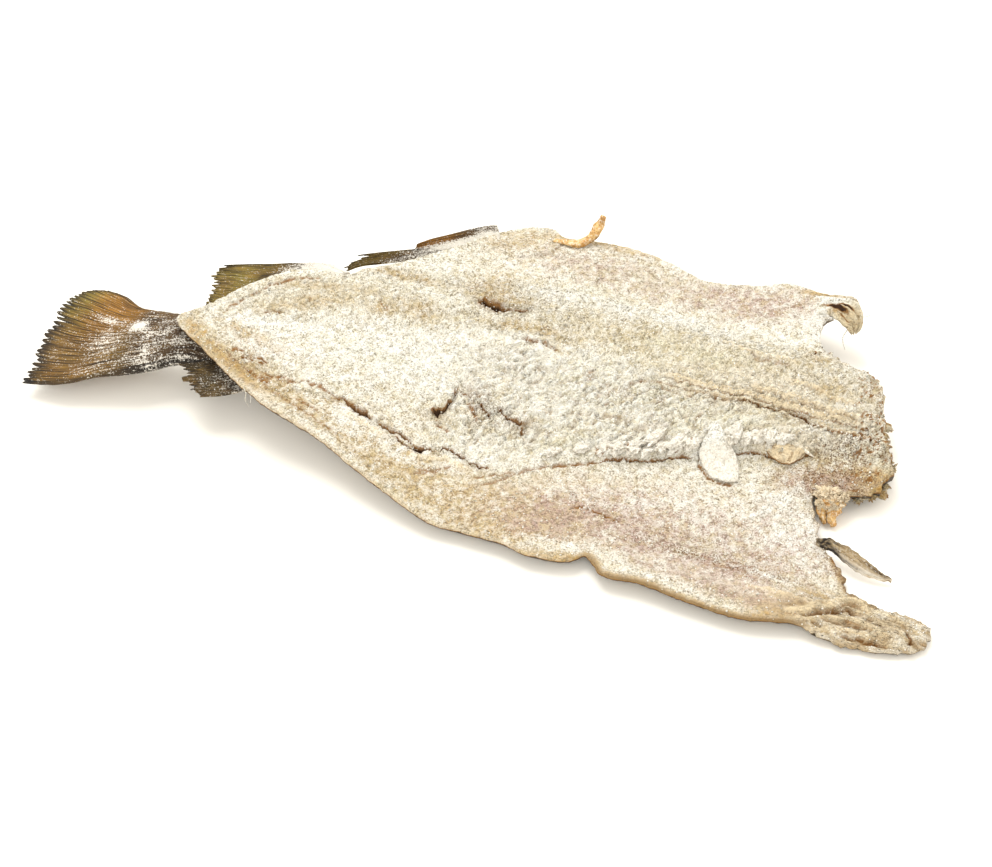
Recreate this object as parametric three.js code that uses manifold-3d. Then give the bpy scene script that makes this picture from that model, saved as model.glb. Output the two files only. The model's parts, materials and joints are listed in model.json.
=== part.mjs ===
// A split, salted and dried cod, lying skin side down and flesh side up.
// Millimetres, +Z up. +X runs along the fish from the tail to the shoulders and +Y to its far flank.
// The origin is on the surface that it lies on, under the middle of the whole fish.
//
// The fish is one solid. Its body is a slab between two height surfaces, cut out by the outline.
// The tail, fins, curled scraps and loose flakes are fused to it, and the cracks are cut into it.
import * as THREE from "three";
import { mergeVertices } from "three/addons/utils/BufferGeometryUtils.js";
import Module from "manifold-3d";

const wasm = await Module();
wasm.setup();

// ---- Driving dimensions -------------------------------------------------------------------------

const FLAP = 5; // thickness of the thin belly flaps
const RIM = 4; // thickness left at the cut edge
const RIM_WIDTH = 26; // how far in from the edge the underside rounds up to it
const TAIL_LIFT = 38; // how high the stiff tail end stands off the table
const FAR_LIFT = 26; // how high the far flank curls up
const NEAR_LIFT = 6; // how high the near flank hovers
const BACK_LIFT = 11; // how high the shoulder end of the back hovers
const SETTLE = 1.6; // what the underside is flattened by where it lies on the table

const FLESH_COLUMNS = 66; // facets along the flesh side
const SKIN_COLUMNS = 34; // and on the skin side
const SKIN_ROWS = 24;
const FIELD = { x0: -232, x1: 332, y0: -188, y1: 188 }; // the ground that the height surfaces cover
const DEEP = -40; // below everything
const HIGH = 120; // above everything
const WELD = 0.02; // edges shorter than this are closed up where solids are joined and cut

// The outline, in stretches, from the point of the split round by the far side.
const FAR_EDGE = [
  [-216, 7], [-200, 22], [-186, 42], [-168, 60], [-144, 76], [-126, 80], [-110, 80], [-98, 90],
  [-75, 104], [-54, 120], [-36, 137], [-16, 157], [0, 170], [19, 177], [33, 175], [40, 167],
  [62, 167], [99, 162], [135, 144], [150, 137], [191, 138], [217, 141], [237, 132], [262, 128],
];
const FAR_EAR = [[262, 119], [247, 110], [239, 97]];
const BACK_END = [
  [240, 81], [256, 62], [272, 53], [282, 38], [285, 10], [286, -12], [292, -26], [287, -44], [278, -52],
];
const NEAR_NOTCH = [[262, -54], [243, -55], [244, -70], [251, -94], [262, -113], [270, -131]];
const NEAR_EAR = [
  [288, -139], [312, -147], [321, -155], [316, -168], [300, -176], [275, -177], [254, -173],
];
const NEAR_EDGE = [
  [241, -168], [205, -170], [170, -163], [137, -153], [110, -149], [103, -138], [98, -133], [90, -140],
  [64, -141], [42, -133], [15, -128], [-10, -123], [-29, -114], [-60, -96], [-92, -76], [-137, -56],
  [-165, -37], [-187, -19],
];

// Lines that run along the fish: y for a given x.
const MID_LINE = [
  [-216, 7], [-100, 27], [10, 51], [40, 51], [62, 44], [86, 34], [143, 29], [200, 19], [238, 3], [285, -4],
];
const NEAR_SEAM = [
  [-216, -8], [-170, -28], [-130, -35], [-86, -41], [-47, -57], [-25, -68], [-8, -64], [23, -79],
  [40, -82], [72, -66], [98, -58], [157, -44], [204, -35], [245, -31], [285, -34],
];
const FAR_SEAM = [[-216, 22], [-150, 62], [-73, 100], [46, 112], [106, 100], [151, 91], [200, 80], [285, 62]];

// Thickness of the meat above the flap, for a given x.
const VALLEY_DEPTH = [[-216, 5], [-100, 10], [10, 14], [86, 15], [200, 15], [285, 11]];
const LOIN_DEPTH = [[-216, 5], [-120, 11], [0, 17], [100, 19], [200, 21], [262, 20], [285, 15]];
const SEAM_STEP = [[-216, 0], [-60, 2], [30, 2], [72, 6], [157, 9], [245, 9], [285, 3]];

// ---- Curves and blends --------------------------------------------------------------------------

const clamp01 = (t) => Math.min(Math.max(t, 0), 1);
const ease = (t) => clamp01(t) ** 2 * (3 - 2 * clamp01(t));
const mix = (a, b, t) => a + (b - a) * t;
const bell = (x, y, [cx, cy, rx, ry]) => Math.exp(-(((x - cx) / rx) ** 2) - ((y - cy) / ry) ** 2);

// A smooth function through knots [x, value], level past both ends.
function through(knots) {
  const slope = knots.map((_, i) => {
    const a = knots[Math.max(i - 1, 0)];
    const b = knots[Math.min(i + 1, knots.length - 1)];
    return (b[1] - a[1]) / (b[0] - a[0]);
  });
  return (x) => {
    if (x <= knots[0][0]) return knots[0][1];
    const last = knots.length - 1;
    if (x >= knots[last][0]) return knots[last][1];
    const i = knots.findIndex((k) => k[0] > x) - 1;
    const width = knots[i + 1][0] - knots[i][0];
    const t = (x - knots[i][0]) / width;
    const bulge = t * (1 - t) * width;
    const [m0, m1] = [slope[i], slope[i + 1]];
    return mix(knots[i][1], knots[i + 1][1], ease(t)) + bulge * (m0 * (1 - t) - m1 * t);
  };
}

const midLine = through(MID_LINE);
const nearSeam = through(NEAR_SEAM);
const farSeam = through(FAR_SEAM);
const valleyDepth = through(VALLEY_DEPTH);
const loinDepth = through(LOIN_DEPTH);
const seamStep = through(SEAM_STEP);

// ---- The outline --------------------------------------------------------------------------------

const OUTLINE_STEPS = 160;
const outline = new THREE.CatmullRomCurve3(
  [...FAR_EDGE, ...FAR_EAR, ...BACK_END, ...NEAR_NOTCH, ...NEAR_EAR, ...NEAR_EDGE].map(
    ([x, y]) => new THREE.Vector3(x, y, 0),
  ),
  true,
  "centripetal",
).getSpacedPoints(OUTLINE_STEPS).slice(0, OUTLINE_STEPS);

// Distance from a point of the body to the outline.
function toEdge(x, y) {
  let least = Infinity;
  outline.forEach((a, i) => {
    const b = outline[(i + 1) % outline.length];
    const [dx, dy] = [b.x - a.x, b.y - a.y];
    const t = clamp01(((x - a.x) * dx + (y - a.y) * dy) / (dx * dx + dy * dy));
    least = Math.min(least, Math.hypot(x - a.x - t * dx, y - a.y - t * dy));
  });
  return least;
}

// ---- The two height surfaces --------------------------------------------------------------------

// How high the whole sheet stands off the table: it touches under the loins and at the near ear.
function lift(x, y) {
  const back = (-x - 10) / 200;
  const soft = (back + Math.sqrt(back * back + 0.01)) / 2;
  const tail = TAIL_LIFT * (1.5 * soft - 0.5 * Math.min(soft, 1.2) ** 2);
  const far = FAR_LIFT * clamp01(y / 150) ** 1.3;
  const near = NEAR_LIFT * clamp01((-y - 60) / 100) ** 1.2 * (1 - ease((x - 222) / 40));
  const shoulder = BACK_LIFT * clamp01((x - 165) / 120) ** 1.5 * ease((y + 95) / 60);
  return tail + far + near + shoulder;
}

// Height of the meat above a flap of even thickness: a mound on each side of the valley
// that the backbone came out of, ending at a seam where it steps down to the belly flap.
function meat(x, y) {
  const mid = midLine(x);
  const seam = y < mid ? nearSeam(x) : farSeam(x);
  const across = (y - mid) / (seam - mid);
  const [valley, loin] = [valleyDepth(x), loinDepth(x)];
  const step = seamStep(x) * (y < mid ? 1 : 0.45);
  const root = 0.42 * loin; // what the flap starts with under the seam
  if (across > 1) return root * Math.exp(-Math.abs(y - seam) / 34);
  const rise = mix(valley, loin, Math.sin((Math.PI / 2) * clamp01(across / 0.55)));
  return across < 0.55 ? rise : mix(loin, root + step, ease((across - 0.55) / 0.45));
}

// Knobs and folds that stand above the rest: [x, y, length, width] and their height.
const EAR_FOLD = [284, -159, 26, 11];
const EAR_ROOT = [246, -150, 16, 9];
const FAR_EAR_ROLL = [250, 122, 16, 9];
const NEAR_EDGE_ROLL = [150, -146, 70, 7];

function topHeight(x, y) {
  const folds =
    5 * bell(x, y, EAR_FOLD) +
    3 * bell(x, y, EAR_ROOT) +
    3 * bell(x, y, FAR_EAR_ROLL) +
    2 * bell(x, y, NEAR_EDGE_ROLL);
  const wave = 0.9 * Math.sin(x / 23 + y / 31) * Math.sin(y / 19 - x / 47);
  return lift(x, y) + FLAP + meat(x, y) + folds + wave;
}

function underHeight(x, y) {
  const top = topHeight(x, y);
  const full = top - lift(x, y) + SETTLE;
  const inward = clamp01(toEdge(x, y) / RIM_WIDTH);
  const round = Math.sqrt(1 - (1 - inward) ** 2);
  const atShoulder = ease((x - 255) / 25) * ease((y + 60) / 20) * ease((75 - y) / 20);
  const rim = mix(RIM, 0.75 * full, atShoulder);
  return Math.max(0, top - mix(Math.min(rim, full), full, round));
}

// ---- Solids -------------------------------------------------------------------------------------

// A closed three.js geometry as a solid that can be joined and cut.
function solid(geometry) {
  const bare = geometry.clone();
  ["normal", "uv"].forEach((name) => bare.deleteAttribute(name));
  const merged = mergeVertices(bare, 1e-4);
  const vertProperties = merged.attributes.position.array;
  const build = (triVerts) =>
    new wasm.Manifold(new wasm.Mesh({ numProp: 3, vertProperties, triVerts, tolerance: WELD }));
  const corners = new Uint32Array(merged.index.array);
  const made = build(corners);
  return made.volume() > 0 ? made : build(corners.reverse()); // bending can turn a box inside out
}

// Bends a box of cells: place(s, v, side) gives the new point, with s along and v across from 0 to 1
// and side -1 below or 1 above.
function bentSlab(cellsAlong, cellsAcross, place) {
  const box = new THREE.BoxGeometry(1, 1, 2, cellsAlong, cellsAcross, 1);
  const at = box.attributes.position;
  for (let i = 0; i < at.count; i++) {
    at.setXYZ(i, ...place(at.getX(i) + 0.5, at.getY(i) + 0.5, Math.sign(at.getZ(i))));
  }
  return box;
}

// Rows of cells that follow the fish: each stretch has its number of rows and the line that it ends at.
const ROWS = [
  { rows: 0, edge: () => FIELD.y0 },
  { rows: 14, edge: (x) => nearSeam(x) - 3 },
  { rows: 3, edge: (x) => mix(nearSeam(x), midLine(x), 0.2) },
  { rows: 6, edge: midLine },
  { rows: 7, edge: (x) => mix(farSeam(x), midLine(x), 0.12) },
  { rows: 2, edge: (x) => farSeam(x) + 2 },
  { rows: 10, edge: () => FIELD.y1 },
];
const ROW_COUNT = ROWS.reduce((sum, { rows }) => sum + rows, 0);

// y of a row of the flesh side, where v runs from 0 to 1 across the field.
function rowAt(x, v) {
  let [row, i] = [Math.round(v * ROW_COUNT), 1];
  for (; row > ROWS[i].rows; i++) row -= ROWS[i].rows;
  return mix(ROWS[i - 1].edge(x), ROWS[i].edge(x), row / ROWS[i].rows);
}

const evenRow = (x, v) => mix(FIELD.y0, FIELD.y1, v);

// The ground under FIELD as a block between a height surface and a level.
function heightBlock({ height, columns, rows, rowLine, level, surfaceSide }) {
  return bentSlab(columns, rows, (s, v, side) => {
    const x = mix(FIELD.x0, FIELD.x1, s);
    const y = rowLine(x, v);
    return [x, y, side === surfaceSide ? height(x, y) : level];
  });
}

// A smooth line through points [x, y, z].
const curve = (points) => new THREE.CatmullRomCurve3(points.map((p) => new THREE.Vector3(...p)));

// A round tube of changing radius along such a line, with closed ends.
function taperedTube(points, radii, sides, steps) {
  const line = curve(points);
  const frames = line.computeFrenetFrames(steps, false);
  const radiusAt = through(radii.map((r, i) => [i / (radii.length - 1), r]));
  const tube = new THREE.CylinderGeometry(1, 1, 1, sides, steps, false);
  const at = tube.attributes.position;
  for (let i = 0; i < at.count; i++) {
    const step = Math.round((at.getY(i) + 0.5) * steps);
    const radius = radiusAt(step / steps);
    const point = line.getPointAt(step / steps);
    point.addScaledVector(frames.normals[step], at.getZ(i) * radius);
    point.addScaledVector(frames.binormals[step], at.getX(i) * radius);
    at.setXYZ(i, point.x, point.y, point.z);
  }
  return tube;
}

// ---- The body -----------------------------------------------------------------------------------

function bodySolid() {
  const plan = new THREE.Shape(outline.map((p) => new THREE.Vector2(p.x, p.y)));
  const prism = new THREE.ExtrudeGeometry(plan, { depth: HIGH - 2 * DEEP, bevelEnabled: false });
  prism.translate(0, 0, DEEP / 2);
  const flesh = { height: topHeight, columns: FLESH_COLUMNS, rows: ROW_COUNT, rowLine: rowAt };
  const skin = { height: underHeight, columns: SKIN_COLUMNS, rows: SKIN_ROWS, rowLine: evenRow };
  return solid(heightBlock({ ...flesh, level: DEEP, surfaceSide: 1 }))
    .intersect(solid(heightBlock({ ...skin, level: HIGH, surfaceSide: -1 })))
    .intersect(solid(prism));
}

// ---- The tail: a round stem that thins out into the fan of the tail fin -------------------------

const TAIL_CELLS = { along: 14, across: 14 };
const STEM_THICKNESS = 19;
const FIN_THICKNESS = 1.8;
const STEM_ROOT = 0.35; // thickness of its end inside the body, as a share
// Edges of the tail seen from above, from inside the body to the end of the fin: [x, y, z].
const TAIL_NEAR_EDGE = [
  [-140, -18, 27], [-175, -20, 27], [-207, -17, 28], [-234, -30, 27],
  [-262, -36, 23], [-292, -42, 15], [-322, -37, 9],
];
const TAIL_FAR_EDGE = [
  [-140, 40, 34], [-175, 34, 35], [-213, 24, 35], [-239, 27, 34],
  [-260, 36, 33], [-278, 48, 30], [-296, 52, 28],
];
const TAIL_END = [
  [-322, -37, 9], [-319, -22, 12], [-317, -5, 15], [-316, 10, 18],
  [-317, 25, 20], [-311, 41, 23], [-296, 52, 28],
];

function tailSolid() {
  const near = curve(TAIL_NEAR_EDGE);
  const far = curve(TAIL_FAR_EDGE);
  const end = curve(TAIL_END);
  const [cornerNear, cornerFar] = [near.getPoint(1), far.getPoint(1)];
  return solid(
    bentSlab(TAIL_CELLS.along, TAIL_CELLS.across, (s, v, side) => {
      const point = near.getPoint(s).lerp(far.getPoint(s), v);
      const straight = cornerNear.clone().lerp(cornerFar, v);
      point.addScaledVector(end.getPoint(v).sub(straight), s ** 4);
      const round = Math.sqrt(Math.max(1 - (2 * v - 1) ** 2, 0));
      const stem = 1 - ease((s - 0.42) / 0.42);
      const ray = 0.35 * Math.cos(v * Math.PI * TAIL_CELLS.across) * ease((s - 0.5) / 0.3);
      const root = mix(STEM_ROOT, 1, ease(s / 0.3));
      const thick = FIN_THICKNESS + (STEM_THICKNESS - FIN_THICKNESS) * round * stem * root + ray;
      return [point.x, point.y, point.z + (side * thick) / 2];
    }),
  );
}

// ---- Fins: thin fans with ragged ray tips -------------------------------------------------------

// base and tips are lines of [x, y, z]; the base lies inside the body.
const FINS = {
  thirdBackFin: {
    base: [[-160, 52, 38], [-158, 64, 41], [-141, 75, 46]],
    tips: [[-204, 29, 41], [-207, 54, 39], [-206, 78, 40]],
    rays: 9,
  },
  secondBackFin: {
    base: [[-92, 76, 40], [-70, 96, 39], [-51, 119, 38.5]],
    tips: [[-113, 84, 42], [-115, 95, 41], [-113, 107, 40]],
    rays: 6,
  },
  firstBackFin: {
    base: [[-34, 126, 35], [-14, 148, 33], [3, 168, 31.5]],
    tips: [[-67, 128, 38], [-67, 133, 37], [-62, 141, 36]],
    rays: 6,
  },
  ventFin: {
    base: [[-180, -2, 30], [-168, -16, 30], [-152, -34, 28]],
    tips: [[-211, -25, 31], [-200, -38, 28], [-187, -51, 27]],
    rays: 8,
  },
};
const RAY_CUT = 5; // how deep the gaps between the ray tips are
const FIN_CELLS_ALONG = 3;

function finSolid({ base, tips, rays }) {
  const [from, to] = [curve(base), curve(tips)];
  return solid(
    bentSlab(FIN_CELLS_ALONG, rays * 2, (s, v, side) => {
      const [root, tip] = [from.getPoint(v), to.getPoint(v)];
      const gap = Math.round(v * rays * 2) % 2 ? RAY_CUT / root.distanceTo(tip) : 0;
      const point = root.lerp(tip, s * (1 - gap * ease((s - 0.6) / 0.4)));
      const thick = mix(3, FIN_THICKNESS * 0.8, s);
      return [point.x, point.y, point.z + (side * thick) / 2];
    }),
  );
}

// ---- Scraps that stand or hang off the edges ----------------------------------------------------

// Tubes along points [x, y, z] with a radius at each point.
const SCRAPS = {
  farEarHook: {
    points: [[232, 124, 34], [250, 124, 36], [261, 119, 34], [263, 110, 28], [258, 104, 23]],
    radii: [6, 6.5, 7, 6, 3],
  },
  membraneCurl: {
    points: [[34, 160, 33], [46, 162, 34], [54, 163, 36], [60, 167, 43], [67, 173, 54]],
    radii: [3.5, 3, 3.5, 3.5, 2],
  },
  nearSideFin: {
    points: [[240, -94, 9], [256, -96, 12], [270, -102, 11], [284, -111, 9], [295, -116, 7]],
    radii: [5, 5.5, 4.5, 3, 1.2],
  },
  gut: { points: [[246, -44, 16], [254, -54, 14], [258, -64, 9], [257, -74, 5]], radii: [9, 8, 6, 2.5] },
  gutEnd: { points: [[256, -44, 16], [264, -54, 12], [268, -58, 9]], radii: [6, 4, 2.5] },
};
const SCRAP_SIDES = 8;
const SCRAP_STEPS = 11;

const scrapSolid = ({ points, radii }) => solid(taperedTube(points, radii, SCRAP_SIDES, SCRAP_STEPS));

// ---- Flakes that lie on the meat ----------------------------------------------------------------

// Lumps of broken meat along the near seam: the last one is nearest the shoulders.
const FLAKE_LUMPS = { count: 11, from: 92, to: 232, length: 9, width: 6, height: 5 };

function flakeLumps() {
  const { count, from, to, length, width, height } = FLAKE_LUMPS;
  return Array.from({ length: count }, (_, i) => {
    const x = mix(from, to, i / (count - 1));
    const size = 0.8 + 0.35 * Math.sin(i * 2.4);
    const y = nearSeam(x) + 6;
    const lump = new THREE.IcosahedronGeometry(1, 1);
    lump.scale(length * size, width * size, height * size);
    lump.rotateZ(0.9 + 0.3 * Math.sin(i * 1.7));
    lump.translate(x, y, topHeight(x, y) - 1);
    return solid(lump);
  });
}

// A thin fan of meat folded down over the seam: it hangs off the meat and ends above the flap.
const FOLDED_FLAKE = { root: [168, -22], end: [184, -60], rootWidth: 13, width: 25, thickness: 3, hang: 12 };

function foldedFlake() {
  const { root, end, rootWidth, width, thickness, hang } = FOLDED_FLAKE;
  return solid(
    bentSlab(7, 6, (s, v, side) => {
      const rounded = Math.sqrt(1 - (0.9 * ease((s - 0.6) / 0.4)) ** 2);
      const open = mix(rootWidth, width, Math.sin(s * 2.2)) * rounded;
      const x = mix(root[0], end[0], s) + (v - 0.5) * open;
      const y = mix(root[1], end[1], s) + (v - 0.5) * open * 0.3;
      const laid = Math.max(topHeight(x, y), topHeight(...root) - hang * s * s);
      return [x, y, laid + thickness * (side > 0 ? 1 : -0.3)];
    }),
  );
}

// ---- Cracks and the gash ------------------------------------------------------------------------

// Each cut is a V that follows [x, y] along the top, with half widths along it, and is that deep.
const CUTS = {
  longCrack: {
    line: [[-116, -34], [-87, -38], [-62, -47], [-48, -52], [-28, -64]],
    halfWidths: [0.8, 2, 2.6, 2.4, 3],
    depth: 6,
  },
  crackEnd: { line: [[-24, -66], [-9, -59], [4, -64], [22, -74]], halfWidths: [3, 2.4, 2.2, 0.8], depth: 5 },
  gash: { line: [[-8, 77], [6, 74], [18, 75], [30, 78]], halfWidths: [1.4, 5, 3, 0.8], depth: 7 },
  midCrack: { line: [[200, 20], [214, 13], [230, 5], [240, 1]], halfWidths: [0.8, 1.8, 2.4, 0.8], depth: 5 },
  flakeStep: { line: [[-26, -32], [-15, -28], [-9, -19], [-8, -7]], halfWidths: [0.8, 2.6, 2.2, 0.8], depth: 4 },
};
const CUT_CLEAR = 3; // how far a cut reaches above the top
const CUT_LIP = 0.5; // how far above the top its two sides start
const CUT_CELLS = 8;

function cutSolid({ line, halfWidths, depth }) {
  const path = curve(line.map(([x, y]) => [x, y, 0]));
  const halfWidth = through(halfWidths.map((w, i) => [i / (halfWidths.length - 1), w]));
  return solid(
    bentSlab(CUT_CELLS, 2, (s, v, side) => {
      const middle = path.getPoint(s);
      const along = path.getTangent(s);
      const across = (2 * v - 1) * halfWidth(s);
      const [x, y] = [middle.x - along.y * across, middle.y + along.x * across];
      const bottom = v === 0.5 ? -depth : CUT_LIP;
      return [x, y, topHeight(x, y) + (side > 0 ? CUT_CLEAR : bottom)];
    }),
  );
}

// ---- The whole fish -----------------------------------------------------------------------------

const pieces = [
  bodySolid(),
  tailSolid(),
  ...Object.values(FINS).map(finSolid),
  ...Object.values(SCRAPS).map(scrapSolid),
  ...flakeLumps(),
  foldedFlake(),
];
const joined = pieces.reduce((whole, piece) => whole.add(piece));
const cut = Object.values(CUTS).reduce((whole, groove) => whole.subtract(cutSolid(groove)), joined);
const bySize = cut.decompose().sort((a, b) => b.volume() - a.volume());
const fish = bySize[0]; // without the pinholes that joining seals in

function meshOf(name, shape, look) {
  const { vertProperties, triVerts } = shape.getMesh();
  const geometry = new THREE.BufferGeometry();
  geometry.setAttribute("position", new THREE.BufferAttribute(vertProperties, 3));
  geometry.setIndex(new THREE.BufferAttribute(triVerts, 1));
  geometry.computeVertexNormals();
  const mesh = new THREE.Mesh(geometry, new THREE.MeshStandardMaterial(look));
  mesh.name = name;
  return mesh;
}

const saltCod = new THREE.Group();
saltCod.add(meshOf("salt_cod", fish, { color: 0xe9dcc2, roughness: 0.85, metalness: 0 }));

export default saltCod;
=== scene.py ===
# %% [markdown]
# # A split, salted and dried cod
#
# The real thing is a cod that was opened along the backbone, laid flat, buried in salt and then dried. It
# has three kinds of surface: pale meat frosted with salt, dark skin, and thin fins. Each gets its own mesh
# and its own material below. Lengths in the tables are in millimetres, and meshes are made in metres at the
# very end.

import json
import math

import bmesh
import bpy
import numpy as np
from mathutils import Matrix, Vector, kdtree, noise
from mathutils.bvhtree import BVHTree

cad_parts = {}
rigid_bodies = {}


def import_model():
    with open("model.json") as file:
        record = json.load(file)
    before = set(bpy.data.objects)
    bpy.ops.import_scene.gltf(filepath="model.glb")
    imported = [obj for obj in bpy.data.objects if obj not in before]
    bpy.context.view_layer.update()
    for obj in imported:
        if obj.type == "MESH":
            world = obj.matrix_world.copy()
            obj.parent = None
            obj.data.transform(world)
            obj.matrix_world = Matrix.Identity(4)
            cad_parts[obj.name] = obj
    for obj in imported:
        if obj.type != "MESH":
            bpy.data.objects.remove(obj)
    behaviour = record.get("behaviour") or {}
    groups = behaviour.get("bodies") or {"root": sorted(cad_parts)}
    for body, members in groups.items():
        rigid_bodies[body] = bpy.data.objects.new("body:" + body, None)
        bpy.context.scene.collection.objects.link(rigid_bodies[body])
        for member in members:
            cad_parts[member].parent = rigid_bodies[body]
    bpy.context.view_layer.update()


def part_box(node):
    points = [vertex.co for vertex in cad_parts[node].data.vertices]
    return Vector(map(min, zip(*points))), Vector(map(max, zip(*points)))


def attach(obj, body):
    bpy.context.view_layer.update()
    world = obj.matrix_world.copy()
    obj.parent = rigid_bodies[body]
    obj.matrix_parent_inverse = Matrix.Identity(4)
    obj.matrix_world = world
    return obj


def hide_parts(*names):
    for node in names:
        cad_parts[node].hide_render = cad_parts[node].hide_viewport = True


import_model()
CAD_LOW, CAD_HIGH = (np.array(corner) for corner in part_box("salt_cod"))
INSIDE = 0.0002  # pieces stay this far inside the box, in metres
print("box of the part, metres:", CAD_LOW.round(4), CAD_HIGH.round(4))

# %% [markdown]
# ## Camera
#
# A whole fish is best seen from above and in front, far enough away that the tail doesn't shrink. The camera
# could be turned by hand, but here it is pointed by a direction, so that turn, rise and distance can be
# read.

# %% Camera
MM = 0.001
TURN, RISE, REACH = math.radians(10), math.radians(44), 1.25
AIM = Vector((0.020, -0.021, 0.0))
SENSOR_MM, LENS_MM = 36, 64.45

camera = bpy.data.objects.new("camera", bpy.data.cameras.new("camera"))
bpy.context.scene.collection.objects.link(camera)
behind = Vector((math.sin(TURN) * math.cos(RISE), -math.cos(TURN) * math.cos(RISE), math.sin(RISE)))
camera.location = AIM + behind * REACH
camera.rotation_euler = (-behind).to_track_quat("-Z", "Y").to_euler()
camera.data.sensor_width, camera.data.sensor_fit, camera.data.lens = SENSOR_MM, "HORIZONTAL", LENS_MM
bpy.context.scene.camera = camera
bpy.context.scene.view_settings.view_transform = "Standard"
print("camera at", camera.location[:])

# %% [markdown]
# ## Two helpers for materials
#
# A material is a tree of nodes. Colours are written as hex codes, as a paint chart gives them, and have to
# be made linear for the shader. One helper adds any node with its settings and links. A second lays thin
# colours over one another, as dirt, salt and stains lie on a real surface: each layer says what it lies on,
# which pattern breaks it up, between which values of that pattern it fades in, and how much of it there is.

# %% Colours and nodes
def ink(hex_colour):
    """An sRGB hex colour as linear red, green, blue and alpha."""
    parts = [int(hex_colour[i:i + 2], 16) / 255 for i in (1, 3, 5)]
    return (*[p / 12.92 if p <= 0.04045 else ((p + 0.055) / 1.055) ** 2.4 for p in parts], 1.0)


def add(tree, kind, inputs=None, out=None, **settings):
    """Adds a node with its settings and links, and gives its output socket out, or the node itself.

    An input is a number, a colour or the socket that feeds it, under the socket's name or number."""
    made = tree.nodes.new(kind)
    for name, value in settings.items():
        setattr(made, name, value)
    for name, value in (inputs or {}).items():
        if isinstance(value, bpy.types.NodeSocket):
            tree.links.new(value, made.inputs[name])
        else:
            made.inputs[name].default_value = value
    return made if out is None else made.outputs[out]


def new_material(name):
    made = bpy.data.materials.new(name)
    made.use_nodes = True
    made.node_tree.nodes.clear()
    return made, made.node_tree


COORDS, NOISE, CELLS = "ShaderNodeTexCoord", "ShaderNodeTexNoise", "ShaderNodeTexVoronoi"
MIX, RANGE, MATH, STORED = "ShaderNodeMix", "ShaderNodeMapRange", "ShaderNodeMath", "ShaderNodeAttribute"
BUMP, SHADER, OUTPUT = "ShaderNodeBump", "ShaderNodeBsdfPrincipled", "ShaderNodeOutputMaterial"
TURNED, FIN_MAP = "ShaderNodeMapping", "ShaderNodeUVMap"

# %% Layers of colour
def lay_over(tree, colour, layers):
    """Mixes colours over a first one. A layer is what it lies on, a pattern, the pattern's values where the
    layer starts and where it is full, its least and its most share, and its colour."""
    for lies_on, pattern, start, full, least, most, shade in layers:
        share = add(tree, RANGE, {0: pattern, 1: start, 2: full, 3: least, 4: most}, 0)
        share = add(tree, MATH, {0: share, 1: lies_on}, 0, operation="MULTIPLY")
        colour = add(tree, MIX, {0: share, 6: colour, 7: ink(shade)}, 2, data_type="RGBA")
    return colour


def per_metre(millimetres):
    """Noise scale for a pattern whose lumps are this big."""
    return 1000.0 / millimetres


def end_material(tree, colour, bumps, roughness, gloss):
    """Ends a material: bumps from coarse to fine, the shader of dried protein, and the output."""
    surface = {"Base Color": colour, "Roughness": roughness, "IOR": 1.5, "Specular IOR Level": gloss}
    for height, distance, strength in bumps:
        bump = {"Height": height, "Distance": distance, "Strength": strength}
        if "Normal" in surface:
            bump["Normal"] = surface["Normal"]
        surface["Normal"] = add(tree, BUMP, bump, 0)
    add(tree, OUTPUT, {"Surface": add(tree, SHADER, surface, 0)})
    print("nodes:", len(tree.nodes))

# %% [markdown]
# ## Light
#
# A product shot like this one is made on a white table so bright that it burns out to white. One lamp could
# do it, but then the near side would go black. So a wide soft lamp stands behind the fish and draws the
# relief, and three weaker ones fill in from the front, the right and the left. An area light gives soft
# shadows because it is wide. The warm world light stands for light that comes back from the room, and tints
# the shadows beige.

# %% Light
def area_light(name, place, aim, size, power):
    lamp = bpy.data.objects.new(name, bpy.data.lights.new(name, "AREA"))
    lamp.data.shape, lamp.data.size, lamp.data.energy = "SQUARE", size, power
    lamp.location = place
    lamp.rotation_euler = (Vector(aim) - Vector(place)).to_track_quat("-Z", "Y").to_euler()
    bpy.context.scene.collection.objects.link(lamp)


area_light("back_softbox", (-0.45, 0.8, 1.6), (0, 0, 0), 1.15, 27)
area_light("front_fill", (0.2, -1.7, 1.3), (0, 0, 0), 1.6, 10.5)
area_light("side_fill", (1.4, 0.5, 0.9), (0.1, 0.05, 0), 1.0, 7)
area_light("left_fill", (-1.1, -0.9, 0.5), (-0.15, -0.05, 0), 0.8, 6.6)
sky = bpy.data.worlds.new("bright_room")
sky.use_nodes = True
sky.node_tree.nodes["Background"].inputs["Color"].default_value = ink("#fffdf8")
sky.node_tree.nodes["Background"].inputs["Strength"].default_value = 0.97
bpy.context.scene.world = sky
print("lamps:", len(bpy.data.lights))

# %% [markdown]
# ## From a shape to an object
#
# Every mesh below is built with bmesh, which edits points, edges and faces in memory, and then becomes an
# object. Moving points one by one is slow, so they are read and written as one array of numbers.

# %% Objects and their points
def object_of(shape, name, smooth=True):
    """Turns a bmesh shape into a linked object and frees the shape."""
    for face in shape.faces:
        face.smooth = smooth
    made = bpy.data.objects.new(name, bpy.data.meshes.new(name))
    shape.to_mesh(made.data)
    shape.free()
    bpy.context.scene.collection.objects.link(made)
    return made


def points_of(mesh):
    """The points of a mesh as rows of x, y and z."""
    flat = np.empty(len(mesh.vertices) * 3)
    mesh.vertices.foreach_get("co", flat)
    return flat.reshape(-1, 3)


def move_points(mesh, place):
    mesh.vertices.foreach_set("co", place.ravel())
    mesh.update()

# %% [markdown]
# ## Floor
#
# The table is a painted board: matt, near white, with a faint warm mottle that keeps its white from looking
# like paper. A flat grid is enough, because nothing of it shows but shadow. It isn't part of the fish.

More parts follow.
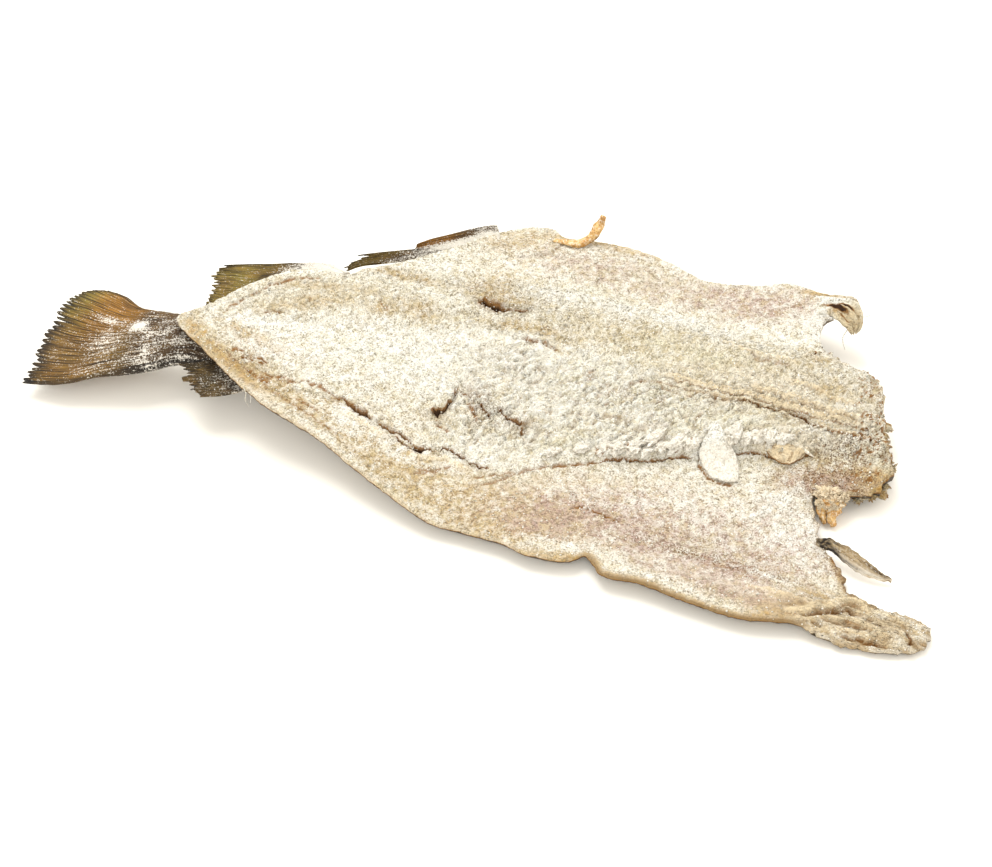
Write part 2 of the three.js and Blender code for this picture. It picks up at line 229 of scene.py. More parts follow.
# %% Floor
table = bmesh.new()
bmesh.ops.create_grid(table, x_segments=4, y_segments=4, size=4)
floor = object_of(table, "floor", smooth=False)
pale_table, tree = new_material("pale_table")
mottle = add(tree, NOISE, {"Scale": 3.0, "Detail": 2.0}, "Fac")
tone = add(tree, MIX, {0: mottle, 6: ink("#f8f3e9"), 7: ink("#faf6ee")}, 2, data_type="RGBA")
matt = add(tree, SHADER, {"Base Color": tone, "Roughness": 0.9, "Specular IOR Level": 0.1}, 0)
add(tree, OUTPUT, {"Surface": matt})
floor.data.materials.append(pale_table)
print("floor:", len(floor.data.polygons), "faces")

# %% [markdown]
# ## The shape of the meat
#
# Seen from above the fish is one closed outline, and its thickness is a height over that outline: thin belly
# flaps, two loins with a valley between them, and a step at each seam. Those large heights are the part's
# own, so that this mesh fills the same space. They are plain functions of x and y, worked out for all points
# at once. First come the small functions that blend two values and run smooth lines through points.

# %% Blends and curves
def clamp01(t):
    return np.clip(t, 0.0, 1.0)


def ease(t):
    t = clamp01(t)
    return t * t * (3 - 2 * t)


def mix(a, b, t):
    return a + (b - a) * t


def bell(x, y, spot):
    cx, cy, rx, ry = spot
    return np.exp(-((x - cx) / rx) ** 2 - ((y - cy) / ry) ** 2)

# %% Smooth lines through points
def through(knots):
    """A smooth function y(x) through its knots, level past both ends."""
    kx, ky = np.array(knots, float).T
    last = len(kx) - 1
    slope = np.array([(ky[min(i + 1, last)] - ky[max(i - 1, 0)]) / (kx[min(i + 1, last)] - kx[max(i - 1, 0)])
                      for i in range(len(kx))])

    def value(x):
        x = np.clip(x, kx[0], kx[-1])
        i = np.clip(np.searchsorted(kx, x, side="right") - 1, 0, last - 1)
        width = kx[i + 1] - kx[i]
        t = (x - kx[i]) / width
        return mix(ky[i], ky[i + 1], ease(t)) + t * (1 - t) * width * (slope[i] * (1 - t) - slope[i + 1] * t)

    return value


def curve(points, closed=False):
    """A smooth path through points, as a function of 0 to 1."""
    points = np.array(points, float)
    spans = len(points) if closed else len(points) - 1
    if closed:
        padded = np.vstack([points[-1], points, points[0], points[1]])
    else:
        padded = np.vstack([2 * points[0] - points[1], points, 2 * points[-1] - points[-2]])

    def place(t):
        at = clamp01(np.asarray(t, float)) * spans
        i = np.minimum(at.astype(int), spans - 1)
        w = (at - i)[..., None]
        p0, p1, p2, p3 = (padded[i + k] for k in range(4))
        d0, d1, d2 = (np.maximum(np.linalg.norm(b - a, axis=-1), 1e-6)[..., None] ** 0.5
                      for a, b in ((p0, p1), (p1, p2), (p2, p3)))
        out = ((p1 - p0) / d0 - (p2 - p0) / (d0 + d1) + (p2 - p1) / d1) * d1
        back = ((p2 - p1) / d1 - (p3 - p1) / (d1 + d2) + (p3 - p2) / d2) * d1
        return ((2 * w**3 - 3 * w**2 + 1) * p1 + (w**3 - 2 * w**2 + w) * out
                + (3 * w**2 - 2 * w**3) * p2 + (w**3 - w**2) * back)

    return place

# %% [markdown]
# ### Where the lines run
#
# Three lines run from tail to shoulder: the backbone's groove in the middle, and on each side the seam where
# thick loin meets thin belly flap. The outline is one smooth loop through points, because a cut fish has no
# straight edge. The depths of valley, loin and step change along the fish, so they are smooth lines too.

# %% Lines of the fish
FAR_EDGE = [
    [-216, 7], [-200, 22], [-186, 42], [-168, 60], [-144, 76], [-126, 80], [-110, 80], [-98, 90],
    [-75, 104], [-54, 120], [-36, 137], [-16, 157], [0, 170], [19, 177], [33, 175], [40, 167],
    [62, 167], [99, 162], [135, 144], [150, 137], [191, 138], [217, 141], [237, 132], [262, 128]]
FAR_EAR = [[262, 119], [247, 110], [239, 97]]
BACK_END = [[240, 81], [256, 62], [272, 53], [282, 38], [285, 10], [286, -12], [292, -26], [287, -44],
            [278, -52]]
NEAR_NOTCH = [[262, -54], [243, -55], [244, -70], [251, -94], [262, -113], [270, -131]]
NEAR_EAR = [[288, -139], [312, -147], [321, -155], [316, -168], [300, -176], [275, -177], [254, -173]]
NEAR_EDGE = [
    [241, -168], [205, -170], [170, -163], [137, -153], [110, -149], [103, -138], [98, -133], [90, -140],
    [64, -141], [42, -133], [15, -128], [-10, -123], [-29, -114], [-60, -96], [-92, -76], [-137, -56],
    [-165, -37], [-187, -19]]
outline = curve(FAR_EDGE + FAR_EAR + BACK_END + NEAR_NOTCH + NEAR_EAR + NEAR_EDGE, closed=True)

mid_line = through([[-216, 7], [-100, 27], [10, 51], [40, 51], [62, 44], [86, 34], [143, 29], [200, 19],
                    [238, 3], [285, -4]])
near_seam = through([[-216, -8], [-170, -28], [-130, -35], [-86, -41], [-47, -57], [-25, -68], [-8, -66],
                     [23, -74], [40, -71], [55, -64], [72, -58], [98, -51], [137, -41], [162, -33],
                     [188, -28], [204, -26], [222, -30], [245, -24], [285, -30]])
far_seam = through([[-216, 22], [-150, 62], [-73, 100], [46, 112], [106, 100], [151, 91], [200, 80],
                    [285, 62]])
valley_depth = through([[-216, 5], [-100, 10], [10, 14], [86, 15], [200, 15], [285, 11]])
loin_depth = through([[-216, 5], [-120, 11], [0, 17], [100, 19], [200, 21], [262, 20], [285, 15]])
seam_step = through([[-216, 0], [-60, 1.5], [30, 1], [72, 3], [157, 5], [245, 5], [285, 2]])
print("near seam, middle and far seam at x = 0, mm:",
      [round(float(line(0.0)), 1) for line in (near_seam, mid_line, far_seam)])

# %% [markdown]
# ### Heights
#
# A dried cod is stiff and warps, so it doesn't lie flat: tail, far flank and shoulder stand off the table.
# Meat could be sculpted by hand, but a sum of a few plain forms can be read and corrected: how far it lifts,
# how thick the flap is, the loins above it, and some folds. The skin side is that top less the thickness.

# %% Heights
# Thickness of a flap and of its rim, width of the rim's rounding, and how far the skin settles, in mm
FLAP, RIM, RIM_WIDTH, SETTLE = 5, 2.4, 22, 1.6
TAIL_RISE, FAR_RISE, NEAR_RISE, SHOULDER_RISE = 38, 26, 6, 11


def lift(x, y):
    """How far the fish stands off the table: its stiff tail end, far flank, near flank and shoulder."""
    back = (-x - 10) / 200
    soft = (back + np.sqrt(back**2 + 0.01)) / 2
    tail = TAIL_RISE * (1.5 * soft - 0.5 * np.minimum(soft, 1.2) ** 2)
    far = FAR_RISE * clamp01(y / 150) ** 1.3
    near = NEAR_RISE * clamp01((-y - 60) / 100) ** 1.2 * (1 - ease((x - 222) / 40))
    return tail + far + near + SHOULDER_RISE * clamp01((x - 165) / 120) ** 1.5 * ease((y + 95) / 60)


def across_loin(x, y):
    """0 on the mid-line, 1 at the seam of the side that a point is on."""
    mid = mid_line(x)
    return (y - mid) / (np.where(y < mid, near_seam(x), far_seam(x)) - mid)


def meat(x, y):
    """Height of the loins above a flap of even thickness. The seam step is a short steep bank."""
    near = y < mid_line(x)
    seam = np.where(near, near_seam(x), far_seam(x))
    across, loin = across_loin(x, y), loin_depth(x)
    root, step = 0.42 * loin, seam_step(x) * np.where(near, 1, 0.3)
    rise = mix(valley_depth(x), loin, np.sin(math.pi / 2 * clamp01(across / 0.55)))
    on_loin = np.where(across < 0.55, rise, mix(loin, root + step, ease((across - 0.55) / 0.45)))
    bank = root + step * (1 - ease((across - 0.93) / 0.07))
    on_loin = np.where(across > 0.93, np.minimum(on_loin, bank), on_loin)
    return np.where(across > 1, root * np.exp(-np.abs(y - seam) / 34), on_loin)


def form_height(x, y):
    """The top of the part."""
    folds = (5 * bell(x, y, (284, -159, 26, 11)) + 3 * bell(x, y, (246, -150, 16, 9))
             + 3 * bell(x, y, (250, 122, 16, 9)) + 2 * bell(x, y, (150, -146, 70, 7)))
    wave = 0.9 * np.sin(x / 23 + y / 31) * np.sin(y / 19 - x / 47)
    return lift(x, y) + FLAP + meat(x, y) + folds + wave


def under_height(x, y, inward):
    """The skin side, rounded up to the rim at the edge. inward is the distance from the edge."""
    top = form_height(x, y)
    full = top - lift(x, y) + SETTLE
    bulge = np.sqrt(1 - (1 - clamp01(inward / RIM_WIDTH)) ** 2)
    shoulder = ease((x - 255) / 25) * ease((y + 60) / 20) * ease((75 - y) / 20)
    rim = mix(RIM, 0.75 * full, shoulder)
    return np.maximum(0, top - mix(np.minimum(rim, full), full, bulge))


print("height of the meat at 100, 0, mm:", round(float(form_height(100.0, 0.0)), 1))

# %% [markdown]
# ## Relief: cracks, ridges, steps and flakes
#
# Drying pulls the meat apart along its own layers. What the eye reads as fish is mostly this relief: cracks
# that run with the fish, thin shelves where a layer broke off, and short slanting flakes on the loins. Each
# crack or shelf is a bent line with a height and a width, and the lines wander a little so that none looks
# drawn. The rest is fractal noise and a slanted cell pattern, at the sizes that flakes have.

# %% Helpers for relief
def rough(x, y, size, seed, octaves=3):
    """Fractal noise of about -1 to 1, with lumps of the given size."""
    sx, sy = (size, size) if np.isscalar(size) else size
    place = np.stack([x / sx + 7.3 * seed, y / sy - 3.1 * seed, np.full(len(x), 1.7 * seed)], 1)
    return np.array([noise.fractal(p, 1.0, 2.0, octaves) for p in place.tolist()])


def turned(x, y, degrees):
    c, s = math.cos(math.radians(degrees)), math.sin(math.radians(degrees))
    return x * c + y * s, -x * s + y * c


def tiles(x, y, degrees, long, wide, seed):
    """Slanted flakes: height 0 to 1 across each flake, and how close a point is to the gap between two."""
    u, v = turned(x, y, degrees)
    place = np.stack([u / long, v / wide, np.full(len(x), 0.5 + seed)], 1)
    height, gap = np.empty(len(x)), np.empty(len(x))
    for i, p in enumerate(place.tolist()):
        far, spots = noise.voronoi(p)
        height[i] = 0.5 - (p[1] - spots[0].y) * 0.9
        gap[i] = far[1] - far[0]
    return clamp01(height), np.exp(-(gap / 0.12) ** 2)

# %% Distance from a bent line
def along(line, x, y):
    """Distance from a bent line, the side of it (1 is left) and how far along it (0 to 1)."""
    line = np.array(line, float)
    nearest, side, reach = np.full(len(x), 1e9), np.zeros(len(x)), np.zeros(len(x))
    lengths = np.linalg.norm(np.diff(line, axis=0), axis=1)
    walked = 0.0
    for (ax, ay), (bx, by), length in zip(line[:-1], line[1:], lengths):
        dx, dy = (bx - ax) / length, (by - ay) / length
        t = np.clip((x - ax) * dx + (y - ay) * dy, 0, length)
        distance = np.hypot(x - ax - dx * t, y - ay - dy * t)
        closer = distance < nearest
        nearest = np.where(closer, distance, nearest)
        side = np.where(closer, np.sign(dx * (y - ay) - dy * (x - ax)), side)
        reach = np.where(closer, (walked + t) / lengths.sum(), reach)
        walked += length
    return nearest, side, reach

# %% [markdown]
# ### The lines and fields of the relief
#
# A crack sinks and is dark inside, and the near black of its floor is painted shade. A ridge is a raised
# fibre with painted shade along its near foot, and a step is high on its left and low on its right, as where
# one layer of meat ends, with painted shade along its low side. Fields of fine creases stand for places with
# too many small wrinkles to draw one by one, and get painted shade in them. One row of cracks is only the
# painted shadow of the folded leaf. A table of lines keeps each of them in its place and easy to move.

# %% Lines of relief
# Each row is a height, a half width, how dark the line is inside, and its points
RELIEF = {"crack": [
    (1.2, 0.9, 0.5, [[-130, -36], [-124, -31], [-112, -30], [-100, -33], [-86, -39]]),
    (2.4, 1.0, 0.75, [[-92, -39], [-85, -37], [-79, -40], [-73.5, -43], [-67, -45.7], [-61, -47.3]]),
    (4.5, 1.3, 1.0, [[-75, -42.8], [-69.7, -45], [-64.5, -46.4]]),
    (2.4, 0.7, 0.8, [[-61, -47.3], [-56, -50.5], [-50, -52.5], [-43, -54.8], [-37.6, -57.3], [-32, -61],
        [-29, -63]]),
    (2.6, 0.8, 0.85, [[-46, -57], [-42, -58], [-38, -62], [-32.5, -65.4], [-27.6, -65.4], [-21.5, -64.5],
        [-18, -62], [-13, -61.7]]),
    (4.5, 1.4, 1.0, [[-32, -63], [-27, -64.2], [-20, -63.3]]),
    (2.4, 0.8, 0.85, [[-13, -61.7], [-10.3, -58], [-6.4, -57], [-2.3, -60], [2.2, -62], [7, -64.5]]),
    (3.0, 1.0, 1.0, [[-1, -60.3], [5.3, -63.8]]),
    (2.0, 0.8, 0.85, [[7, -64.5], [13, -67], [17.4, -68.8], [24.3, -69]]),
    (4.5, 2.7, 1.0, [[-11, 81], [-4.5, 76.8], [0, 75.6], [5, 75], [12, 74.6]]),
    (2.6, 0.8, 1.0, [[8, 74.3], [17.2, 74.8], [23.8, 74.7], [29.4, 76.7]]),
    (1.3, 0.6, 0.5, [[24, 52], [34, 51.2], [40.4, 50.3], [48.7, 48], [55.7, 45.3]]),
    (1.4, 0.55, 1.0, [[-25, -33], [-19.3, -33.6], [-15.9, -29.5], [-12.8, -23.6], [-11, -16.6]]),
    (1.2, 0.6, 0.7, [[-11, -16.6], [-10.5, -8.7], [-10, -3]]),
    (1.8, 0.8, 0.85, [[20, -17.4], [23.7, -21.7], [26.3, -25], [31.9, -28.6], [36.3, -30], [41, -28.3]]),
    (1.8, 0.8, 0.85, [[8, -17], [12.8, -24], [17.9, -29]]),
    (1.2, 1.0, 0.7, [[-8.6, -8], [-3.4, -9.4], [2, -11]]),
    (1.2, 0.6, 0.7, [[40, -30], [41, -38]]),
    (1.0, 0.6, 0.6, [[1, -20], [6, -27], [9, -33]]),
    (1.0, 0.6, 0.6, [[-2, -16], [3, -21], [5, -25]]),
    (1.2, 0.8, 0.5, [[-20, -36], [-16, -42], [-8, -44]]),
    (1.2, 0.9, 0.3, [[69, 13.3], [76.7, 19.7], [84.3, 26.4]]),
    (1.2, 0.9, 0.3, [[72.3, 25.3], [77.7, 27.9], [84.3, 32]]),
    (1.2, 1.0, 0.3, [[52, -17], [56, -15.5], [60, -13]]),
    (1.4, 0.8, 0.35, [[114, 27], [121.7, 23.6]]),
    (1.4, 0.8, 0.35, [[129, 22], [138.3, 20.5]]),
    (1.4, 0.8, 0.35, [[149, 19.6], [156, 18.6]]),
    (1.2, 1.1, 0.4, [[10, -80], [20, -76], [31, -73], [38, -71], [47, -67], [56, -63]]),
    (1.3, 0.9, 0.4, [[14.8, -84.7], [26.5, -81], [35.6, -74.5], [51.3, -65.8], [61, -61.5], [71, -59]]),
    (1.6, 0.9, 0.5, [[62, -61], [72, -58], [84, -55], [98, -50]]),
    (2.4, 0.8, 0.8, [[92, -52], [110, -46], [124, -43.5], [137, -41], [150, -37], [162, -33]]),
    (2.4, 0.8, 0.8, [[184, -29], [196, -27], [204, -26], [213, -29], [222, -31], [231, -27], [242, -24]]),
    # Painted shadow of the folded leaf on the flap, drawn as a shallow dark line
    (1.2, 1.1, 0.62, [[162, -33], [164, -40.4], [172.2, -49.6], [180.8, -52.8], [191, -51.8]]),
    (1.2, 0.9, 0.45, [[-26.7, -86.4], [-18, -81.4], [-9, -75.5], [0, -70]]),
    (1.0, 0.8, 0.4, [[-24, -82], [-17, -78], [-10, -80]]),
    (1.4, 0.9, 0.62, [[83, -90], [92, -91], [103, -93], [111, -96], [121, -100]]),
    (2.0, 0.7, 0.9, [[182.7, 17.5], [191.8, 16.7], [200.3, 13.2], [210.8, 9.9], [221.4, 10], [228.4, 7.6],
        [238.7, -2.5]]),
    (4.0, 1.2, 1.0, [[222, 9.6], [230.5, 6.2], [240, -3.5]]),
    (1.4, 0.8, 0.35, [[118, 30], [150, 24], [182, 17]]),
    (1.2, 0.7, 0.32, [[191, 52.3], [202, 51], [214, 49]]),
    (1.2, 0.8, 0.3, [[176, 65], [185, 61], [196, 52], [205, 49], [214, 48], [226, 49]]),
    (1.0, 0.9, 0.45, [[-84, 62], [-80, 57], [-74, 52], [-70, 49]]),
    (0.8, 1.1, 0.28, [[166, -125], [185.7, -126], [211.7, -129.4], [237.4, -131.4], [257, -132]]),
    (0.8, 1.1, 0.25, [[150, -119], [176, -120], [204, -123], [230, -126]]),
    (1.2, 0.8, 0.7, [[-164, -18], [-155, -21], [-142, -22]]),
    (1.0, 0.7, 0.7, [[-154, -18], [-141, -20]]),
    (1.0, 0.7, 0.6, [[-171, -15], [-160, -13]]),
    (1.0, 0.8, 0.6, [[-146, -28], [-136, -30], [-126, -29]]),
    (1.0, 0.8, 0.6, [[-156, -27], [-146, -33], [-136, -36]]),
    (1.0, 0.7, 0.5, [[-118, -44], [-108, -47], [-98, -52]]),
    (1.0, 0.8, 0.5, [[-158, 25], [-150, 29], [-143, 30]]),
    (1.2, 0.8, 0.4, [[-20, 88], [-16, 97], [-9, 101]]),
    (0.9, 0.7, 0.5, [[-188, 13], [-173, 35], [-162, 53], [-146, 66], [-113, 73]]),
    (0.9, 1.0, 0.35, [[-186, -8], [-158, -27], [-130, -44], [-100, -58], [-72, -72]]),
    (2.6, 1.2, 0.5, [[240, -160], [256, -154], [268, -148], [276, -152]]),
    (2.0, 1.6, 0.75, [[303, -160], [309, -165], [306, -170]]),
    (1.6, 1.0, 0.5, [[258, -171], [276, -170], [296, -173]]),
    (1.0, 0.8, 0.5, [[262, 59], [270, 55], [276, 49], [281, 39]]),
    (1.4, 1.0, 0.5, [[238, 96], [243, 88], [249, 76], [256, 66]]),
], "ridge": [
    (1.8, 1.8, 0.3, [[-84, -46], [-72, -50], [-60, -55], [-50, -59]]),
    (1.4, 1.6, 0.3, [[-36, -70], [-24, -70], [-8, -66], [4, -70], [16, -75]]),
    (2.8, 2.0, 0.8, [[119.6, 35], [131.8, 34.3], [149.8, 32], [160.7, 29.2], [175, 27], [189, 24.6],
        [203.3, 20.5], [217.4, 16.2], [234.8, 11.3], [248.5, 8], [269, 3.7], [282.6, -0.9]]),
    (2.0, 1.5, 0.7, [[236, 6], [242.3, 2.8], [252, -7.3], [265.3, -12.8], [279.6, -12.4]]),
    (2.2, 1.5, 0.6, [[186, 31], [206, 27], [228, 20], [250, 13], [276, 8]]),
    (1.8, 1.3, 0.5, [[214, 36], [232, 31], [250, 22], [272, 17]]),
    (1.6, 1.3, 0.5, [[140, 27], [165, 22], [186, 19], [212, 10], [226, 6]]),
    (1.9, 1.6, 0.3, [[164, 71], [178, 64], [188, 59], [198, 54.5], [212, 52], [228, 52]]),
    (1.8, 2.0, 0.0, [[224, -52], [217, -62], [210, -71], [202, -84]]),
    (1.8, 1.8, 0.35, [[199.6, -141.8], [218.7, -143], [238, -147], [252, -145.5], [263.5, -141]]),
    (1.0, 1.5, 0.0, [[-191, 11], [-176, 33], [-165, 52], [-148, 67], [-115, 75], [-96, 83]]),
    (1.2, 2.0, 0.0, [[-190, -10], [-160, -32], [-132, -49], [-100, -64], [-70, -80], [-45, -96]]),
    (3.2, 2.8, 0.6, [[222, -160], [238.5, -157], [248, -152], [257, -147], [266.7, -139.5], [275, -139],
        [281, -146], [284, -155]]),
    (2.4, 1.8, 0.5, [[228, -166], [243, -162], [256, -157], [270, -157], [286, -163], [302, -170]]),
    (2.2, 1.8, 0.5, [[268, -146], [280, -150], [290, -157], [306, -163]]),
    (1.8, 1.6, 0.4, [[240, -170], [256, -166], [274, -166], [292, -171]]),
    (2.0, 2.0, 0.3, [[262, -138], [276, -140], [292, -147], [308, -154]]),
], "step": [
    (1.6, 8, 0.0, [[-126, -38], [-122, -37], [-108, -36], [-96, -38], [-86, -40]]),
    (1.6, 9, 0.0, [[-92, -38], [-79, -40], [-67, -45], [-56, -50], [-43, -54], [-30, -61]]),
    (1.8, 8, 0.0, [[-12, 82], [-4, 78.5], [4, 77.2], [14, 77.4], [24, 77.4], [34, 79]]),
    (2.0, 11, 0.3, [[9, 56], [15.6, 54], [26, 51.7], [34, 51.3], [40.4, 50.5], [48.7, 48.3], [56, 45.5]]),
    (2.6, 12, 0.15, [[-27, -34], [-19.3, -33.4], [-15.9, -29.3], [-12.8, -23.4], [-11.3, -16.6],
        [-10.7, -8.7], [-10.3, -3]]),
    (1.5, 10, 0.3, [[5, 133], [10, 138], [22, 142], [33, 146], [38, 154], [39, 166]]),
    (1.8, 8, 0.2, [[24, -22], [27, -26], [33, -29.5], [41, -28.5], [48, -24], [55, -17], [60, -10]]),
]}
# Shallow dents: middle and half size
PITS = [
    [26, 114, 5, 2.6], [38, 117, 4, 2.2], [56, 120, 5.5, 2.4], [73, 124, 5, 2.2], [33, 128, 4, 2.4],
    [35, 105, 5, 2.2]]
# Knobs of broken meat: middle and half size
KNOBS = [
    [103, -44, 6, 4], [117, -39, 6, 4], [132, -32, 8, 4.5], [148, -34, 9, 4], [158, -28, 6, 4],
    [169, -23, 7, 5.5], [187, -18, 7, 5.5], [196, -20, 6, 4], [205, -19, 7, 4.5], [218, -22, 8, 4],
    [230, -20, 6, 4]]
# Fields of fine creases: middle, half size, turn, length and width of a crease, depth, how dark
CREASES = [
    [-140, -30, 52, 14, -33, 14, 3.4, 0.9, 0.5], [16, -20, 26, 15, -48, 10, 3.0, 1.3, 0.5],
    [-70, 10, 46, 14, -10, 9, 3.0, 0.8, 0.2], [-130, 46, 40, 14, 22, 12, 3.2, 0.8, 0.3],
    [2, -66, 44, 14, -18, 10, 3.4, 1.0, 0.35], [210, 18, 72, 16, -17, 30, 3.4, 1.2, 0.28],
    [254, -42, 32, 12, 0, 6, 3.4, 1.2, 0.6], [100, 10, 60, 34, 42, 14, 4.2, 1.4, 0.3],
    [150, -12, 70, 16, 40, 12, 4.0, 1.2, 0.25], [282, -158, 42, 18, -14, 20, 3.6, 1.6, 0.35],
    [-60, -85, 60, 16, -32, 7, 3.4, 0.7, 0.2], [10, 95, 30, 26, -20, 8, 3.2, 0.8, 0.25],
    [280, 6, 12, 44, 80, 8, 3.4, 1.0, 0.25], [190, -120, 70, 26, -8, 9, 3.2, 0.5, 0.22],
    [70, 125, 60, 26, -10, 9, 3.4, 0.5, 0.15], [60, 22, 34, 12, 30, 14, 3.6, 1.5, 0.35]]
print("relief lines:", {kind: len(lines) for kind, lines in RELIEF.items()})

# %% From lines to heights
# Share of a line over which each end fades, and noise value at which a crease ends
END_FADE, CREASE_EDGE = 0.16, 0.16


def relief(x, y):
    """Height of the fine shape above the part's own, dark of cracks and painted shade, and how much fibre.
    """
    wx = x + 1.3 * rough(x, y, 5, 1, 2) + 0.5 * rough(x, y, 1.9, 2, 1)
    wy = y + 1.3 * rough(x, y, 5, 3, 2) + 0.5 * rough(x, y, 1.9, 4, 1)
    height, dark, strand = np.zeros(len(x)), np.zeros(len(x)), np.zeros(len(x))
    pinch = np.clip(0.95 + 0.9 * rough(x, y, 4, 5, 2), 0.6, 1.3)
    for kind, (tall, wide, shade, line) in ((kind, row) for kind, rows in RELIEF.items() for row in rows):
        distance, side, reach = along(line, wx, wy)
        ends = ease(np.minimum(reach, 1 - reach) / END_FADE)
        if kind == "crack":
            width = (0.68 if shade > 0.6 else 1) * wide * mix(0.5, 1.0, ends) * (pinch if tall < 3 else 1)
            height -= tall * ends * np.exp(-(distance / width) ** 4)
            lip = np.exp(-((distance - 2.2 * width) / (1.3 * width)) ** 2) * (side > 0)
            height += 0.25 * tall * ends * lip
            # The near black floor of a crack is painted shade; the faint brown halo around it is a stain.
            inside = np.exp(-(distance / (width * (0.85 + 0.08 * tall))) ** 6)
            dark = np.maximum(dark, shade * mix(0.3, 1, ends) * inside)
            dark = np.maximum(dark, 0.34 * shade * ends * np.exp(-(distance / (width * 3.0)) ** 2))
        elif kind == "ridge":
            height += tall * ends * np.exp(-(distance / wide) ** 2)
            strand = np.maximum(strand, (0.3 + shade) * (shade > 0) * ends * np.exp(-(distance / wide) ** 2))
            # Painted shadow along the near foot of the fibre
            foot = np.exp(-((distance - 1.25 * wide) / 0.6) ** 2) * (side < 0)
            dark = np.maximum(dark, 0.6 * shade * ends * foot)
        else:
            high = np.exp(-distance / wide)
            low = -0.5 * np.exp(-(distance / 2.2) ** 2)
            height += tall * ends * np.where(side > 0, high, low)
            # Painted shadow along the low side of the step
            edge = np.exp(-(distance / 1.2) ** 2) * np.where(side > 0, 0.35, 1)
            dark = np.maximum(dark, shade * ends * edge)
    for blobs, turn, tall, power in ((PITS, 12, -1.6, 2), (KNOBS, 48, 2.6, 1.6)):
        for px, py, rx, ry in blobs:
            u, v = turned(wx - px, wy - py, turn)
            height += tall * np.exp(-((u / rx) ** 2 + (v / ry) ** 2) ** power)
    for seed, (px, py, rx, ry, turn, long, wide, deep, shade) in enumerate(CREASES):
        u, v = turned(wx - px, wy - py, turn)
        there = np.exp(-(u / rx) ** 2 - (v / ry) ** 2)
        some = there > 0.05
        wave = rough(u[some], v[some], (long, wide), 200 + seed, 2)
        crease = np.exp(-(wave / CREASE_EDGE) ** 2) * there[some]
        height[some] -= deep * crease
        # Painted shade in the creases
        uneven = clamp01(0.4 + rough(x[some], y[some], 9, 230 + seed, 2))
        dark[some] = np.maximum(dark[some], shade * crease * uneven)
    return height, dark, strand

# %% [markdown]
# ### Flakes, lumps and salt cake
#
# Between the drawn lines the loins are covered with slanting flakes of muscle, laid like roof tiles, with
# smaller ones between them. A cell pattern that is stretched and turned gives tiles with gaps. Around them
# the meat is lumpy, and salt cakes on it. The near ear is all long wrinkles, so it gets ridged noise.

# %% Meat texture in the mesh
def texture(x, y, inward, frost):
    """Lumps, flakes and salt cake, clefts between flakes, hollows, valleys of the near ear, and the ear."""
    across = across_loin(x, y)
    near = y < mid_line(x)
    on_near_loin = ease((x + 50) / 60) * near * ease((0.95 - across) / 0.12) * ease((across + 0.02) / 0.14)
    on_far_loin = (~near) * ease((1.1 - across) / 0.2)
    loin = ease((1.15 - across) / 0.3)
    bank = np.exp(-((across - 0.97) / 0.05) ** 2) * near * ease((x - 40) / 20)
    wx = x + 5 * rough(x, y, 20, 11, 2) + 1.5 * rough(x, y, 6, 15, 2)
    wy = y + 5 * rough(x, y, 20, 12, 2)
    plate, gap = tiles(wx, wy, 44, 22, 8.5, 0.2)
    flake, cleft = tiles(x + 2 * rough(x, y, 9, 16, 2), y + 2 * rough(x, y, 9, 17, 2), 52, 9, 4.2, 2.7)
    small, nick = tiles(x + rough(x, y, 6, 13, 2), y + rough(x, y, 6, 14, 2), 30, 6, 3.2, 4.1)
    patchy = clamp01(0.55 + 0.9 * rough(x, y, 26, 18, 2))
    lumps = mix(0.5, 1.3, loin) * rough(x, y, 8, 22) + mix(0.3, 0.5, loin) * rough(x, y, 3.6, 23, 2)
    big_flakes = mix(0.8, 2.2, patchy) * (plate - 0.5) - 0.8 * gap
    lumps += on_near_loin * (big_flakes + mix(1.8, 0.8, patchy) * (flake - 0.5 - cleft))
    lumps += on_far_loin * (0.6 * (small - 0.5 - nick) + 0.7 * patchy * (flake - 0.5 - 0.7 * cleft))
    lumps += mix(0.2, 0.45, loin) * (small - 0.5 - 0.8 * nick)
    hollow = clamp01(0.35 - 0.6 * lumps)
    cake = 1 - np.abs(rough(x, y, 6.5, 24, 3)) * 2.2
    height = 0.6 * rough(x, y, 24, 21) + 1.3 * lumps + 1.3 * frost * cake
    ear = ease((x - 225) / 25) * ease((-130 - y) / 12)
    u, v = turned(x, y, -12)
    strand = np.array([noise.ridged_multi_fractal((a / 30, b / 4.6, 3.3), 0.9, 2.1, 3, 1.0, 2.0)
                       for a, b in zip(u.tolist(), (v + 3 * np.sin(x / 10)).tolist())])
    height += ear * 2.2 * (strand - 1.1)
    valley = ear * clamp01(1.9 - 1.5 * strand)
    slope = ease((x - 225) / 20) * ease((-18 - y) / 12) * ease((y + 62) / 10)
    slope += ease((x - 262) / 14) * ease((y + 60) / 20)
    height += clamp01(slope) * 1.5 * rough(x, y, 3.6, 31, 3)
    granular = ease((22 - inward) / 18) * ease((60 - x) / 60) * ease((-20 - y) / 15)
    height += granular * (0.9 * rough(x, y, 5, 32, 3) + 0.5 * small)
    # Clefts between flakes, which get painted shade
    clefts = on_near_loin * clamp01(0.7 * gap + 0.5 * cleft * (1 - patchy)) * (1 - bank)
    return height * (1 - 0.75 * bank), clefts, hollow * (1 - ear), valley, ear

# %% [markdown]
# ## The mesh of the body
#
# The body is cut from a grid, as a baker cuts a shape out of rolled dough: cells whose middle lies outside
# the outline go. Even square cells take fine detail much better than one big face with many corners would.
# Cells that hang on by one side or one corner would fold over, so they go too.

